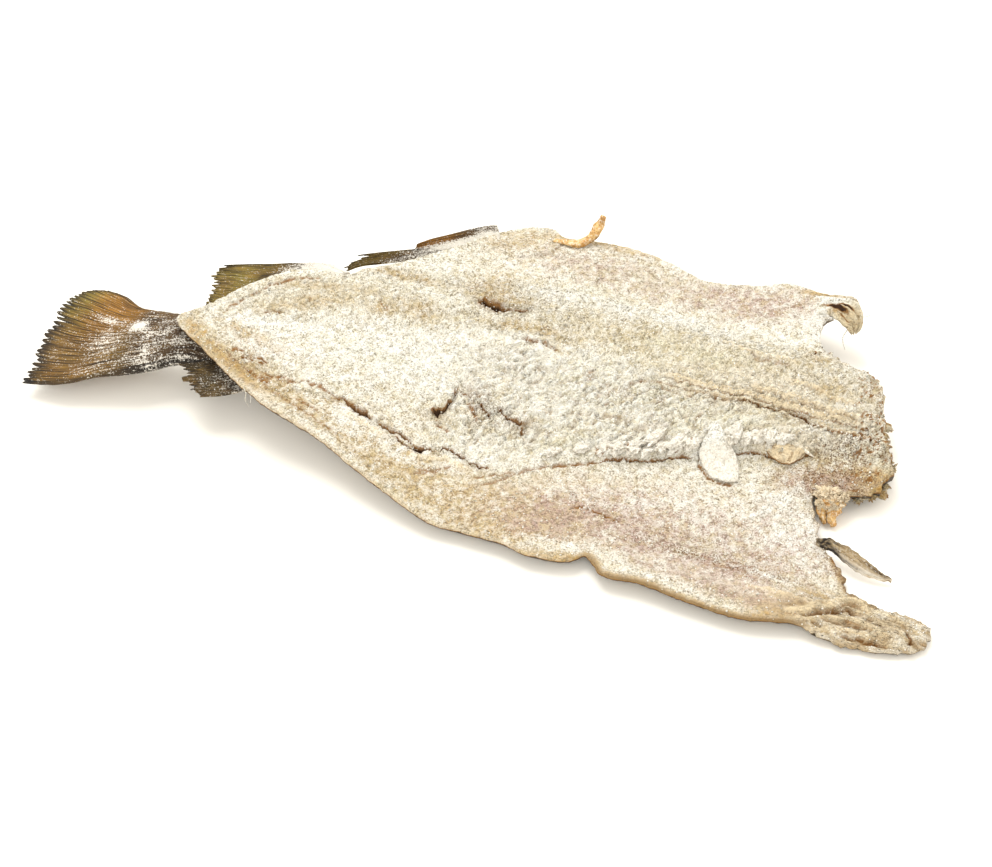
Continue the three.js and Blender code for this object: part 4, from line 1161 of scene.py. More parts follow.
colour = lay_over(tree, ink("#5c421f"), (
    (1.0, blotch, 0.35, 0.65, 0.0, 1.0, "#402c15"),  # brown horn in two depths
    (golden, blotch, 0.25, 0.6, 0.6, 1.0, "#965f12"),  # golden web
    (green, blotch, 0.25, 0.6, 0.6, 1.0, "#81722f"),  # olive web
    (1.0, streak, 0.53, 0.38, 0.0, 0.9, "#1a1108"),  # dark rays
    (1.0, streak, 0.55, 0.68, 0.0, 0.5, "#b38b3d"),  # painted highlight in light streaks of the thin web
    (1.0, dark_tint, 0.0, 1.0, 0.0, 1.0, "#181109"),  # dark edges
    (1.0, salted, 2.12, 2.42, 0.0, 1.0, "#ded7c9")))  # salt between the rays
end_material(tree, colour, [(streak, 0.0010, 0.9), (speck, 0.0006, 0.6)], 0.55, 0.25)

# %% [markdown]
# ### Tail
#
# The tail is a fan that grows out of a stem as thick as a thumb. Its surface is spanned between four curves,
# as cloth is between four battens, and the slab is bent onto it. Rays are a wave across the fan, doubled
# near the edge where real rays branch, and the web is cut back between them by an uneven amount.

# %% Tail
def between(low, high, root=None, end=None):
    """A surface between four edges: low and high run along s, root and end run across at s = 0 and s = 1."""
    def straight(s, v):
        return mix(low(s), high(s), v[:, None])

    def place(s, v):
        point = straight(s, v)
        for edge, at, share in ((root, 0.0, (1 - s) ** 3), (end, 1.0, s**3)):
            if edge:
                point = point + (edge(v) - straight(np.full(len(v), at), v)) * share[:, None]
        return point

    return place


tail_surface = between(
    curve([[-140, -18, 27], [-175, -20, 27], [-207, -17, 28], [-234, -30, 27], [-262, -36, 23],
           [-292, -42, 15], [-321.5, -39, 9]]),
    curve([[-140, 40, 34], [-175, 34, 35], [-213, 24, 35], [-233, 25, 35], [-249, 28, 34], [-269, 43, 32],
           [-283, 48, 31]]),
    end=curve([[-321.5, -39, 9], [-321.5, -27, 12], [-321, -10, 16], [-319.5, 8, 20], [-318, 24, 23],
               [-313, 36, 26], [-303, 45, 28], [-283, 48, 31]]))
STEM_THICK, WEB_THICK, TAIL_RAYS = 19, 1.1, 27

# %% Torn web and bent tail
def torn(v, rays, seed, deep, ragged):
    """How much shorter each ray is than the full fin, as a share of its length."""
    between_rays = 0.5 - 0.5 * np.cos(2 * math.pi * v * rays)
    wander = np.array([noise.noise((a * rays * 0.37, seed, 0.5))
                       + 0.6 * noise.noise((a * rays * 1.3, seed, 4.5))
                       for a in v.tolist()])
    split = np.array([max(0.0, noise.noise((math.floor(a * rays + 0.5) * 1.7, seed, 9.5)))
                      for a in v.tolist()])
    return ragged * (0.5 + wander) + deep * between_rays**2 * (0.5 + 2.2 * split)


def bend_tail(s, v, side):
    cut = np.clip(torn(v, TAIL_RAYS, 3.3, 0.06, 0.035) - 0.015, 0, 0.14)
    cut *= mix(0.25, 1, ease((0.95 - v) / 0.35))
    reach = s * (1 - cut * ease((s - 0.7) / 0.3))
    point = tail_surface(reach, v)
    round_ = np.sqrt(np.maximum(1 - (2 * v - 1) ** 2, 0))
    stem = 1 - ease((s - 0.42) / 0.42)
    rays = np.abs(np.sin(math.pi * v * TAIL_RAYS)) ** 0.6
    twin = np.abs(np.sin(math.pi * v * 2 * TAIL_RAYS)) ** 0.6
    ray = 1.3 * mix(rays, twin, ease((s - 0.72) / 0.1)) * ease((s - 0.42) / 0.25)
    bands = 0.5 * np.cos(v * 22) * stem
    root = mix(0.35, 1, ease(s / 0.3))
    stem_thick = (STEM_THICK - WEB_THICK) * round_ * stem * root
    thick = WEB_THICK + stem_thick + ray + bands * round_ - 0.5 * ease((s - 0.5) / 0.4)
    bumps = 0.5 * rough(point[:, 0], point[:, 1], 9, 91, 3)
    bumps += 0.3 * rough(point[:, 0], point[:, 1], 2.5, 92, 2) * stem
    sway = ease((s - 0.55) / 0.4) * 1.4 * np.sin(v * 9 + 1)
    rounded_tip = 0.5 * (1 - np.abs(side)) * (s > 0.999)
    return point[:, 0] - rounded_tip, point[:, 1], point[:, 2] + side * thick / 2 + bumps + sway

# %% Tints of the tail
tail, s, v, side = bent_slab("tail", 130, 120, bend_tail, [fin_horn])
spot_noise = rough(s * 190, v * 95, 14, 93, 3)
fan = ease((s - 0.5) / 0.14)
tail_tints = {
    "golden": fan * (1.2 * bell(s, v, (0.80, 0.86, 0.26, 0.30)) + 0.45 * bell(s, v, (0.8, 0.45, 0.22, 0.3))
                     + 0.4 * bell(s, v, (0.82, 0.10, 0.2, 0.12))) * (0.9 + 0.5 * spot_noise),
    "green": fan * (0.9 * bell(s, v, (0.97, 0.75, 0.1, 0.22)) + 0.2),
    "dark": clamp01(0.9 * np.exp(-((1 - v) / 0.022) ** 2) * ease((s - 0.3) / 0.3)
                    + 0.75 * ease((s - 0.93) / 0.07)
                    + 0.6 * np.exp(-(v / 0.04) ** 2) + 0.3 * (1 - fan) * ease((0.3 - v) / 0.2)
                    + 0.3 * fan * bell(s, v, (0.86, 0.4, 0.2, 0.26)) * (0.7 + spot_noise)),
    "salted": (0.31 * (1 - fan) * (0.85 + 0.5 * spot_noise) * ease((0.97 - v) / 0.1)
               + 0.8 * bell(s, v, (0.56, 0.60, 0.045, 0.07))
               + 0.36 * bell(s, v, (0.68, 0.42, 0.14, 0.2)) * fan
               + 0.4 * bell(s, v, (0.75, 0.66, 0.1, 0.05)) + 0.2 * bell(s, v, (0.66, 0.12, 0.2, 0.1))
               + 0.14 * spot_noise),
}
stain(tail, **tail_tints)
hand_over(tail)

# %% [markdown]
# ### Back fins and vent fin
#
# Three back fins lie along the far edge and the vent fin hangs from the near one. They are made in the same
# way as the tail, but from a table: four edges, a number of rays, how torn the web is, and how golden or
# salted. One loop then makes them all.

# %% Fins
FINS = {
    "third_back_fin": dict(
        low=[[-182, 34, 37], [-194, 31, 38], [-203, 32, 39]],
        high=[[-108, 84, 43], [-124, 89, 45], [-148, 86, 45], [-164, 82, 45], [-183, 79.5, 44],
              [-207, 76.5, 42]],
        root=[[-182, 34, 37], [-150, 62, 40], [-108, 84, 43]],
        end=[[-203, 32, 39], [-206.4, 43.7, 40], [-208.5, 55, 41], [-210, 69, 42], [-207, 76.5, 42]],
        rays=22, golden=0.5, green=0.85, salted=1.0, salt_low=0.0, deep=0.14, ragged=0.10,
        slits=[(0.55, 0.12), (0.8, 0.1)]),
    "second_back_fin": dict(
        low=[[-50, 123, 38], [-75, 107, 41], [-89, 101, 41], [-101, 96, 41], [-108, 90.5, 41],
             [-113, 86, 40]],
        high=[[-46, 127, 38], [-56.7, 127, 39], [-70.6, 121, 40.5], [-84.7, 115.2, 41], [-102, 107.2, 42],
              [-111, 103.2, 42]],
        root=[[-50, 123, 38], [-47, 125, 38], [-46, 127, 38]],
        end=[[-113, 86, 40], [-115, 94.5, 41], [-111, 103.2, 42]],
        rays=11, golden=0.15, green=0.5, salted=0.5, salt_low=0.0, deep=0.3, ragged=0.2,
        slits=[(0.5, 0.16)]),
    "first_back_fin": dict(
        low=[[-8, 150, 33], [-18.8, 147, 34], [-37, 134, 36], [-54.3, 124, 37], [-66.5, 119, 38]],
        high=[[-13, 169.5, 35], [-21, 165.6, 36], [-31.6, 157.1, 38], [-45.1, 147.1, 39],
              [-58.7, 137.8, 39.5], [-67, 129.4, 40]],
        root=[[-8, 150, 33], [-9, 160, 34], [-13, 169.5, 35]],
        end=[[-66.5, 119, 38], [-68, 124, 39], [-67, 129.4, 40]],
        rays=12, golden=0.9, green=0.1, salted=0.5, salt_low=0.8, deep=0.03, ragged=0.02,
        slits=[(0.45, 0.1)]),
    "vent_fin": dict(
        low=[[-150, -33, 28], [-168, -44.5, 28], [-189, -49.5, 27]],
        high=[[-176, 0, 32], [-192, -15, 32], [-214, -20, 31]],
        root=[[-150, -34, 28], [-164, -18, 30], [-176, 0, 32]],
        end=[[-189, -49.5, 27], [-196, -43, 29], [-201, -36, 30], [-205.5, -28.5, 30], [-214, -20, 31]],
        rays=20, golden=0.1, green=0.3, salted=0.3, salt_low=0.14, deep=0.24, ragged=0.14, shade=0.6,
        slits=[(0.62, 0.35), (0.3, 0.15)]),
}
for seed, (name, fin) in enumerate(FINS.items()):
    surface = between(*(curve(fin[edge]) for edge in ("low", "high", "root", "end")))
    rays = fin["rays"]

    def bend_fin(s, v, side):
        cut = torn(v, rays, 11.3 + 5 * seed, fin["deep"], fin["ragged"])
        for spot, depth in fin["slits"]:
            cut = np.maximum(cut, depth * np.exp(-((v - spot) / 0.025) ** 2))
        reach = s * (1 - np.clip(cut, 0, 0.4) * ease((s - 0.4) / 0.6))
        point = surface(reach, v)
        ray = 1.1 * np.abs(np.sin(math.pi * v * rays)) ** 0.6
        thick = mix(1.8, 0.4, s) + ray
        sway = ease(s) * (1.0 * np.sin(v * 7 + seed) + 0.5 * np.sin(v * 19 + 2 * seed))
        return point[:, 0], point[:, 1], point[:, 2] + side * thick / 2 + sway

    piece, s, v, side = bent_slab(name, 44, rays * 5, bend_fin, [fin_horn])
    patches = rough(s * 50, v * 50, 12, 101 + seed, 3)
    web = 0.9 + 0.5 * patches
    shade = fin.get("shade", 0) * clamp01(0.5 + 1.5 * patches) + 0.35 * ease((s - 0.9) / 0.1)
    shade += 0.6 * np.exp(-((1 - v) / 0.06) ** 2) * ease((s - 0.1) / 0.3)
    salt = fin["salted"] * ease((0.6 - s) / 0.5) + fin["salt_low"] * ease((0.7 - v) / 0.3)
    stain(piece, golden=fin["golden"] * ease((s - 0.3) / 0.5) * web, dark=shade,
          green=fin["green"] * ease((s - 0.2) / 0.5) * web, salted=salt + 0.15 * patches)
    hand_over(piece)

# %% [markdown]
# ## Scraps: rolled membrane, gut, fin stump and threads
#
# The loose ends at the cut edges are strips that rolled up as they dried, so each is a tube along a bent
# path: a circle is extruded ring by ring, with its own radius at each ring, and lengthwise wrinkles are
# pressed in.

# %% Tubes
def rolled_strip(name, strands, sides=20, wrinkle=0.18, material=None, flat=1.0, seed=1):
    """One piece of closed tubes. A strand is (path points in mm, radii, rings)."""
    piece = bmesh.new()
    for number, (points, radii, rings) in enumerate(strands):
        path = curve(points)
        steps = np.linspace(0, 1, rings)
        middle = path(steps)
        ahead = np.gradient(middle, axis=0)
        ahead /= np.linalg.norm(ahead, axis=1)[:, None]
        radius = np.interp(steps, np.linspace(0, 1, len(radii)), radii)
        first = bmesh.ops.create_circle(piece, segments=sides, radius=1.0, cap_ends=True)["verts"]
        cap = first[0].link_faces[0]
        levels = [first]
        for _ in range(rings - 1):
            grown = bmesh.ops.extrude_face_region(piece, geom=[cap])["geom"]
            cap = next(g for g in grown if isinstance(g, bmesh.types.BMFace))
            levels.append([g for g in grown if isinstance(g, bmesh.types.BMVert)])
        for level, (centre, direction, r) in enumerate(zip(middle, ahead, radius)):
            side_way = np.cross(direction, [0.05, 0.1, 1.0])
            side_way /= np.linalg.norm(side_way)
            up_way = np.cross(side_way, direction)
            for v in levels[level]:
                angle = math.atan2(v.co.y, v.co.x)
                around = (3 * math.cos(angle) + number * 3.1, 3 * math.sin(angle),
                          level * 1.6 / rings * 2 + seed)
                fold = noise.fractal(around, 1.0, 2.0, 3)
                here = r * (1 + wrinkle * 2.2 * fold)
                spot = centre + side_way * math.cos(angle) * here + up_way * math.sin(angle) * here * flat
                v.co = Vector(spot) * MM
        bmesh.ops.holes_fill(piece, edges=[e for e in piece.edges if e.is_boundary])
    bmesh.ops.recalc_face_normals(piece, faces=piece.faces)
    made = object_of(piece, name)
    made.data.materials.append(material)
    return made

# %% [markdown]
# ### Dried membrane
#
# The belly lining dries to something like amber: honey coloured where it is thin, brown where it is thick,
# with crumbs of salt on it. It is smoother than the meat, so it has a little more gloss and a fine bump
# only.

# %% Dried membrane
dried_membrane, tree = new_material("dried_membrane")
where = add(tree, COORDS, out="Object")
honey = add(tree, NOISE, {"Vector": where, "Scale": per_metre(6), "Detail": 3.0}, "Fac")
crumb = add(tree, NOISE, {"Vector": where, "Scale": per_metre(1.8), "Detail": 2.0}, "Fac")
colour = lay_over(tree, ink("#dbb578"), (
    (1.0, honey, 0.4, 0.65, 0.0, 1.0, "#c08d4c"),  # thicker, so deeper
    (1.0, crumb, 0.46, 0.34, 0.0, 0.6, "#835b33"),  # brown in the wrinkles
    (1.0, crumb, 0.52, 0.66, 0.0, 0.75, "#e6dcc6")))  # crumbs of salt
end_material(tree, colour, [(crumb, 0.0010, 0.8)], 0.5, 0.4)

# %% [markdown]
# ### Root of the side fin
#
# The stump of the side fin is skin, fin and fat dried into one strip, streaked lengthwise in brown and
# cream. Its streaks follow the strip's own UV map, and stored numbers say where it is frosted and where it
# is almost black.

# %% Dried strip of skin and fin
dried_strip, tree = new_material("dried_fin_root")
uv = add(tree, FIN_MAP, out="UV", uv_map="UVMap")
where = add(tree, COORDS, out="Object")
strung = add(tree, TURNED, {"Vector": uv, "Scale": (2.0, 11.0, 1.0)}, 0)
streak = add(tree, NOISE, {"Vector": strung, "Scale": 1.0, "Detail": 4.0, "Roughness": 0.65}, "Fac")
crumb = add(tree, NOISE, {"Vector": where, "Scale": per_metre(1.6), "Detail": 2.0}, "Fac")
frost, dark_tint = (add(tree, STORED, out="Fac", attribute_name=name) for name in ("frost", "dark"))
colour = lay_over(tree, ink("#7d6139"), (
    (1.0, streak, 0.36, 0.62, 0.0, 1.0, "#c3ad86"),  # fat and skin side by side
    (1.0, streak, 0.47, 0.34, 0.0, 0.85, "#4a3a25"),  # dark grooves
    (1.0, crumb, 0.54, 0.66, 0.0, 0.45, "#e4ddcf"),  # crumbs of salt
    (1.0, frost, 0.0, 1.0, 0.0, 1.0, "#e9e2d4"),  # frosted parts
    (1.0, dark_tint, 0.0, 1.0, 0.0, 1.0, "#1d150d")))  # the dark root
end_material(tree, colour, [(streak, 0.0014, 0.9), (crumb, 0.0008, 0.6)], 0.6, 0.4)

# %% [markdown]
# ### Curl, far ear and fin stump
#
# At the shoulder a curl of membrane stands up, the far ear of the flap droops over its own edge, and the
# stump of the side fin sticks out. The curl is two tubes. The other two are thin slabs between curves, with
# folds pressed in lengthwise, because they are flat strips with two free edges.

# %% The scraps
membrane_curl = rolled_strip("membrane_curl", [
    ([[33, 160, 34], [42, 158, 35.5], [51, 157, 35.5], [57, 158.5, 37], [62, 163.5, 40], [66, 168, 46],
      [68.5, 172, 53.5]],
     [1.6, 2.2, 2.4, 2.2, 3.0, 3.6, 1.8], 46),
    ([[45, 160, 35], [53, 160, 36], [59, 163, 39], [64, 168, 44], [67, 171, 50]], [1.2, 1.6, 1.8, 2.0, 0.8],
     36)],
    wrinkle=0.22, material=dried_membrane, seed=2)
hand_over(membrane_curl)


def bend_between(surface, thick, waves, seed):
    """A bend for a thin strip: its thickness, the height of its lengthwise folds, and its own seed."""
    def bend(s, v, side):
        point = surface(s, v)
        fold = np.array([noise.fractal((a * 1.6, b * 5.0, seed), 1.0, 2.0, 3)
                         for a, b in zip(s.tolist(), v.tolist())])
        fold += 0.4 * rough(point[:, 0], point[:, 1], 3, seed, 2)
        half = thick * (0.6 + 0.4 * np.sin(math.pi * v)) / 2
        return point[:, 0], point[:, 1], point[:, 2] + waves * fold + side * half

    return bend

# %% Far ear
# The far ear is meat at its root and droops over its own edge at its tip, where it is fibrous and golden
ear_surface = between(
    curve([[232, 109, 30], [239, 111, 33], [245, 108.8, 33], [251.2, 104.3, 32], [256.7, 102, 29],
           [260.6, 99.5, 27]]),
    curve([[232, 128, 33], [239.7, 124.5, 37], [248.2, 121.5, 39], [256.8, 120.5, 40], [262.7, 119.6, 39],
           [266.1, 115.8, 36], [267.6, 110.5, 33], [267.4, 105, 30], [264.2, 100.1, 27]]))
far_ear, s, v, side = bent_slab("far_ear_fold", 70, 40, bend_between(ear_surface, 2.2, 2.6, 3.3),
                                [salted_meat])
ripple = rough(s * 40, v * 30, 5, 121, 2)
# Dark slits under the ear's lip are painted shade; the slab itself has no slits
slits = bell(s, v, (0.40, 0.66, 0.16, 0.05)) + bell(s, v, (0.36, 0.42, 0.17, 0.06))
slits += 0.6 * bell(s, v, (0.62, 0.2, 0.2, 0.03))
tip_gold = 1.2 * bell(s, v, (0.85, 0.45, 0.35, 0.5)) + 1.0 * bell(s, v, (0.55, 0.3, 0.3, 0.3))
stain(far_ear, crack=2.0 * slits * (0.8 + 0.8 * ripple), gold=tip_gold * (1 + ripple),
      amber=0.8 * ease((s - 0.4) / 0.4), fibrous=ease((s - 0.3) / 0.2),
      frost=0.9 * bell(s, v, (0.3, 0.9, 0.5, 0.3)) + 0.5 * (1 - s))
hand_over(far_ear)

# %% Stump of the side fin
stump_surface = between(
    curve([[246, -97, 7], [250, -98, 8], [254, -99.6, 9], [259, -103.4, 9], [265.1, -108, 8],
           [272.3, -112.4, 7], [280.3, -115.2, 6], [288.3, -116.2, 4.5], [295.5, -115.8, 4]]),
    curve([[246, -90, 8], [250, -93, 11], [254.5, -94.5, 12.5], [261, -97.5, 13], [267.5, -100.2, 13],
           [275.5, -105, 12], [283.6, -109.8, 10], [290.5, -113, 7], [296, -114.6, 5]]))
side_fin, s, v, side = bent_slab("side_fin_stump", 70, 36, bend_between(stump_surface, 2.6, 2.8, 5.3),
                                 [dried_strip])
root_dark = (1.3 * bell(s, v, (0.18, 0.5, 0.16, 0.5)) + 0.9 * bell(s, v, (0.36, 0.04, 0.22, 0.12))
             + 0.8 * bell(s, v, (0.3, 0.97, 0.12, 0.08)) + 0.7 * bell(s, v, (0.6, 0.98, 0.2, 0.06)))
tip_frost = 0.9 * bell(s, v, (0.7, 0.0, 0.3, 0.32))
for name, amount, size, seed in (("frost", tip_frost, 5, 123), ("dark", 1.3 * root_dark, 4, 122)):
    keep(side_fin.data, name, clamp01(amount * (0.8 + 0.9 * rough(s * 50, v * 20, size, seed, 2))))
hand_over(side_fin)

# %% [markdown]
# ### Clods of gut
#
# A lump of dried gut is a crumbly clod. It starts as a sphere of small triangles, which has no poles that
# would show, and is pressed flat, chipped by cell noise and roughened by fractal noise. Two drips of
# membrane and a short one hang from it.

# %% Broken lumps
def broken_lump(shape, centre, radii, lean, seed, chips=0.28, facets=0.22, subdivisions=4, fine=1.3):
    """Adds an icosphere that is pressed to radii, chipped by noise, turned and moved, all in mm."""
    made = bmesh.ops.create_icosphere(shape, subdivisions=subdivisions, radius=1.0)["verts"]
    turn = Matrix.Rotation(math.radians(lean), 3, "Z")
    for v in made:
        chip = noise.fractal(v.co * fine + Vector((seed * 5.0, 0, 0)), 0.7, 2.0, 5)
        facet = noise.voronoi(v.co * fine * 1.25 + Vector((0, seed * 4.0, 0)))[0][0]
        v.co *= 1 + chips * chip - facets * facet
        v.co = (turn @ (v.co * Vector(radii)) + Vector(centre)) * MM


def piece_of(shape, name, material, slot, **tints):
    """Makes an object of a shape, with one value for each tint, and hands it over."""
    bmesh.ops.recalc_face_normals(shape, faces=shape.faces)
    piece = object_of(shape, name)
    piece.data.materials.append(material)
    stain(piece, **tints)
    hand_over(piece)
    return piece

# %% Gut scrap and drips
gut = bmesh.new()
GUT_CLODS = [
    [251, -55, 14.5, 10, 6.6, 5.6], [249, -61, 12, 6.4, 5.4, 5.6], [256, -61, 12.5, 7, 5.6, 5.8],
    [262.5, -57, 15, 3.8, 3.4, 3.8]]
for number, (gx, gy, gz, ra, rb, rc) in enumerate(GUT_CLODS):
    broken_lump(gut, (gx, gy, gz), (ra, rb, rc), 20 * number, 40 + number, chips=0.5, facets=0.5,
                subdivisions=5, fine=2.4)
gut_scrap = piece_of(gut, "gut_scrap", salted_meat, "scraps", amber=0.5, mauve=0.5, smooth=0.5, strand=0.7)
co = points_of(gut_scrap.data) / MM
# Thin dark lines between crumbs of the clods: painted shade
clod_gap = rough(co[:, 0] + 0.6 * co[:, 2], co[:, 1] - 0.5 * co[:, 2], 3.6, 89, 2)
keep(gut_scrap.data, "crack", clamp01(0.6 * np.exp(-(clod_gap / 0.06) ** 2)))
gut_drips = rolled_strip("gut_drips", [
    ([[248.5, -58, 11], [248.4, -63, 8], [249.4, -68, 5], [251.5, -71.5, 3.4]], [4.2, 3.2, 2.0, 1.0], 30),
    ([[254.5, -58, 11], [255.2, -63, 8], [255.8, -68.5, 5], [257.4, -72.6, 2.8]], [6.4, 5.0, 2.8, 1.6], 34),
    ([[259, -56, 13], [260, -60, 10.5], [259, -64, 8]], [2.4, 2.0, 1.0], 18)], sides=18, wrinkle=0.34,
    material=dried_membrane, seed=12)
hand_over(gut_drips)

# %% [markdown]
# ### The folded leaf and the loose scrap
#
# One thin fan of meat came off the loin and folded over the seam onto the flap. It is a slab that leaves the
# loin by its own curves and then lies on whatever the ray finds below it, so it can't sink in or float.

# %% Folded leaf and loose scraps
leaf_surface = between(
    curve([[171, -12.8, 27.3], [165.7, -25.5, 23], [163, -30, 20], [163, -33.5, 18], [165.5, -39.5, 15.5],
           [173, -48.5, 13.4]]),
    curve([[172.5, -12.8, 27.3], [177, -18.7, 25.8], [181.6, -25.4, 23.4], [187.5, -31, 18.8],
           [190.5, -39, 15.8], [191.5, -50, 13.2]]),
    end=curve([[173, -48.5, 13.4], [181, -51.5, 13.0], [191.5, -50, 13.2]]))


def bend_leaf(s, v, side):
    point = leaf_surface(s, v)
    crease = ease((0.38 - s) / 0.05) * ease(s / 0.1)
    crease -= 0.6 * np.exp(-((s - 0.40 - 0.05 * np.sin(v * 5)) / 0.025) ** 2)
    waves = 0.6 * rough(point[:, 0], point[:, 1], 9, 111, 2)
    waves += 0.22 * rough(point[:, 0], point[:, 1], 3, 112, 2)
    flap = np.array([resting_height(a, b) for a, b in point[:, :2].tolist()])
    lying = np.maximum(mix(point[:, 2], flap + 1.0, ease((s - 0.45) / 0.4)), flap + 1.6 - 0.7 * s)
    height = lying + crease + waves + 1.2 * np.sin(math.pi * v) + side * mix(1.0, 0.3, s)
    return point[:, 0], point[:, 1], height


leaf, s, v, side = bent_slab("folded_leaf", 44, 34, bend_leaf, [salted_meat])
stain(leaf, frost=0.9, smooth=0.55 * ease((s - 0.38) / 0.05),
      amber=0.5 * ease((s - 0.5) / 0.5) * (0.5 + rough(s * 30, v * 30, 8, 113, 2)))
hand_over(leaf)

# %% Loose scrap and splinter
scrap_surface = between(
    curve([[208, -26, 19.5], [213, -31, 19.5], [219, -35, 18.5], [224, -35.5, 18], [229, -31.5, 19.5],
           [233, -27.5, 20.5]]),
    curve([[209, -22.5, 22.5], [214, -22.5, 25.5], [221, -21.5, 27.5], [227, -22.5, 26.5], [231, -24, 24.5],
           [234, -26, 21.5]]))
scrap, s, v, side = bent_slab("loin_scrap", 44, 26, bend_between(scrap_surface, 1.6, 3.2, 7.7),
                              [salted_meat])
# Dark along the scrap's lower edge is painted shade under it; the dark spots are random
stain(scrap, smooth=0.55, amber=0.8, fibrous=0.4, strand=0.9 + rough(s * 30, v * 14, 5, 117, 2),
      gold=0.12 + 0.5 * rough(s * 30, v * 14, 5, 115, 2),
      crack=0.5 * np.exp(-(v / 0.07) ** 2) + 0.3 * (rough(s * 30, v * 14, 3, 116, 2) > 0.3))
hand_over(scrap)
splinter = rolled_strip("loin_splinter", [
    ([[222, -20, 26], [228, -23, 26], [234, -25.5, 23.5], [240, -27, 20.5]], [0.8, 1.7, 1.4, 0.4], 24)],
    sides=12, wrinkle=0.12, material=salted_meat, seed=8)
stain(splinter, frost=0.6, strand=0.4)
hand_over(splinter)

# %% [markdown]
# ### Broken flakes along the seam and at the back end
#
# Where the loin was torn, flakes of muscle stand up like split wood. Each is a sphere pressed into a wedge
# that leans from a thick foot to a pointed tip. Feet and tips are in a table, and heights come from the meat
# below.

# %% Lumps along the seam
def leaning_flake(shape, foot, tip, wide, tall, seed, subdivisions=5):
    """Adds a chipped wedge that lies from its thick foot up to its pointed tip, all in mm."""
    foot, tip = Vector(foot), Vector(tip)
    lean = (tip - foot).to_track_quat("X", "Z").to_matrix()
    half = (tip - foot).length * 0.66
    for v in bmesh.ops.create_icosphere(shape, subdivisions=subdivisions, radius=1.0)["verts"]:
        chip = noise.fractal(v.co * 1.5 + Vector((seed * 5.0, 0, 0)), 0.8, 2.0, 5)
        facet = noise.voronoi(v.co * 2.0 + Vector((0, seed * 4.0, 0)))[0][0]
        v.co *= 1 + 0.36 * chip - 0.40 * facet
        taper = 1 - 0.5 * v.co.x
        wedge = Vector((v.co.x * half, 1.7 * v.co.y * wide * taper, 1.5 * v.co.z * tall * taper))
        v.co = (lean @ wedge + (foot + tip) / 2) * MM

# %% Flakes along the seam
SEAM_FLAKES = [  # foot x, y, tip x, y, half width, half height
    [80, -47, 90, -42, 2.4, 1.8], [95, -44.5, 103, -37, 2.8, 2.2], [105, -44, 112, -37, 3.0, 2.4],
    [114, -42.5, 122, -33, 3.6, 3.0], [126, -35, 137, -23, 3.2, 2.8], [124, -41, 131, -38, 2.4, 2.0],
    [133, -37, 141, -31.5, 3.0, 2.4], [140, -36.5, 155, -21.5, 3.6, 3.2],
    [152.5, -32, 163, -26.5, 2.8, 2.4], [182, -25, 187.5, -13.5, 3.8, 3.6],
    [190.5, -24.5, 197, -19.5, 3.2, 2.8], [198, -23, 205, -17.5, 3.4, 3.2],
    [207, -23.5, 213, -17, 3.2, 3.0], [215, -23, 223.5, -20, 2.8, 2.6], [60, -53, 70, -48, 2.2, 1.6]]
flakes_mesh = bmesh.new()
rng = np.random.default_rng(7)
for number, (fx, fy, tx, ty, wide, tall) in enumerate(SEAM_FLAKES):
    foot = (fx, fy, resting_height(fx, fy) + 0.2 * tall)
    tip = (tx, ty, resting_height(tx, ty) + 1.2 * tall)
    leaning_flake(flakes_mesh, foot, tip, wide, tall, number)
seam_flakes = piece_of(flakes_mesh, "seam_flakes", salted_meat, "flesh", frost=0.8, amber=0.2, smooth=0.5)
# Dark at the feet of the flakes, where they meet the meat: a painted contact shadow
co = points_of(seam_flakes.data) / MM
above = co[:, 2] - np.array([resting_height(a, b) for a, b in co[:, :2].tolist()])
keep(seam_flakes.data, "crack", clamp01(0.55 * np.exp(-(clamp01(above / 1.6) / 0.5) ** 2)))

# %% Tufts and flakes of the torn back end
tufts = bmesh.new()
TUFTS = [
    [279.5, -47, 10.5], [284, -43, 11], [287, -38, 12.5], [290, -31, 14.5], [291.5, -26, 16.5],
    [288, -16, 19], [286, -6, 21], [281, -44, 14], [286, -34, 17], [289, -24, 19], [272, -50, 9],
    [284, 8, 20], [283, 20, 19]]
for number, spot in enumerate(TUFTS):
    broken_lump(tufts, spot, (4.4, 3.2, 3.4), rng.uniform(0, 180), 70 + number, 1.0, 0.6, 4, 2.4)
TORN_FLAKES = [  # foot x, y, z, tip x, y, z
    [272, -14, 19, 281, -17, 16], [276, -4, 20, 286, -6, 17], [279, 5, 21, 289, 3, 18],
    [276, -22, 16, 288, -27, 12], [280, -30, 13, 292, -36, 9], [270, -34, 15, 279, -41, 11],
    [262, -42, 13, 270, -49, 8], [282, -14, 16, 293, -16, 13], [283, -38, 10, 291, -44, 6],
    [266, -28, 17, 275, -32, 14], [256, -44, 14, 262, -51, 9], [284, 12, 20, 293, 13, 17],
    [234, 66, 26, 239, 73, 28], [242, 68, 25, 247, 75, 26], [249, 66, 24, 252, 73, 24]]
for number, (fx, fy, fz, tx, ty, tz) in enumerate(TORN_FLAKES):
    leaning_flake(tufts, (fx, fy, fz), (tx, ty, tz), 2.6, 2.3, 30 + number, 4)
torn_end = piece_of(tufts, "torn_back_end", salted_meat, "flesh", amber=0.35, olive=0.5, hollow=0.4,
                    frost=0.2)
co = points_of(torn_end.data) / MM
east, north = co[:, 0], co[:, 1]
stain(torn_end, crack=1.5 * rough(east, north, 2.6, 90, 3) - 0.1,
      pepper=0.2 + 1.6 * rough(east, north, 4, 88, 2),
      gold=(0.65 + 1.4 * rough(east, north, 5, 87, 2)) * (north < 40))

# %% [markdown]
# ### Threads
#
# A few fibres hang free at the edges. A real one is 0.3 mm thick. They are drawn as tubes up to 1 mm thick,
# so that they show.

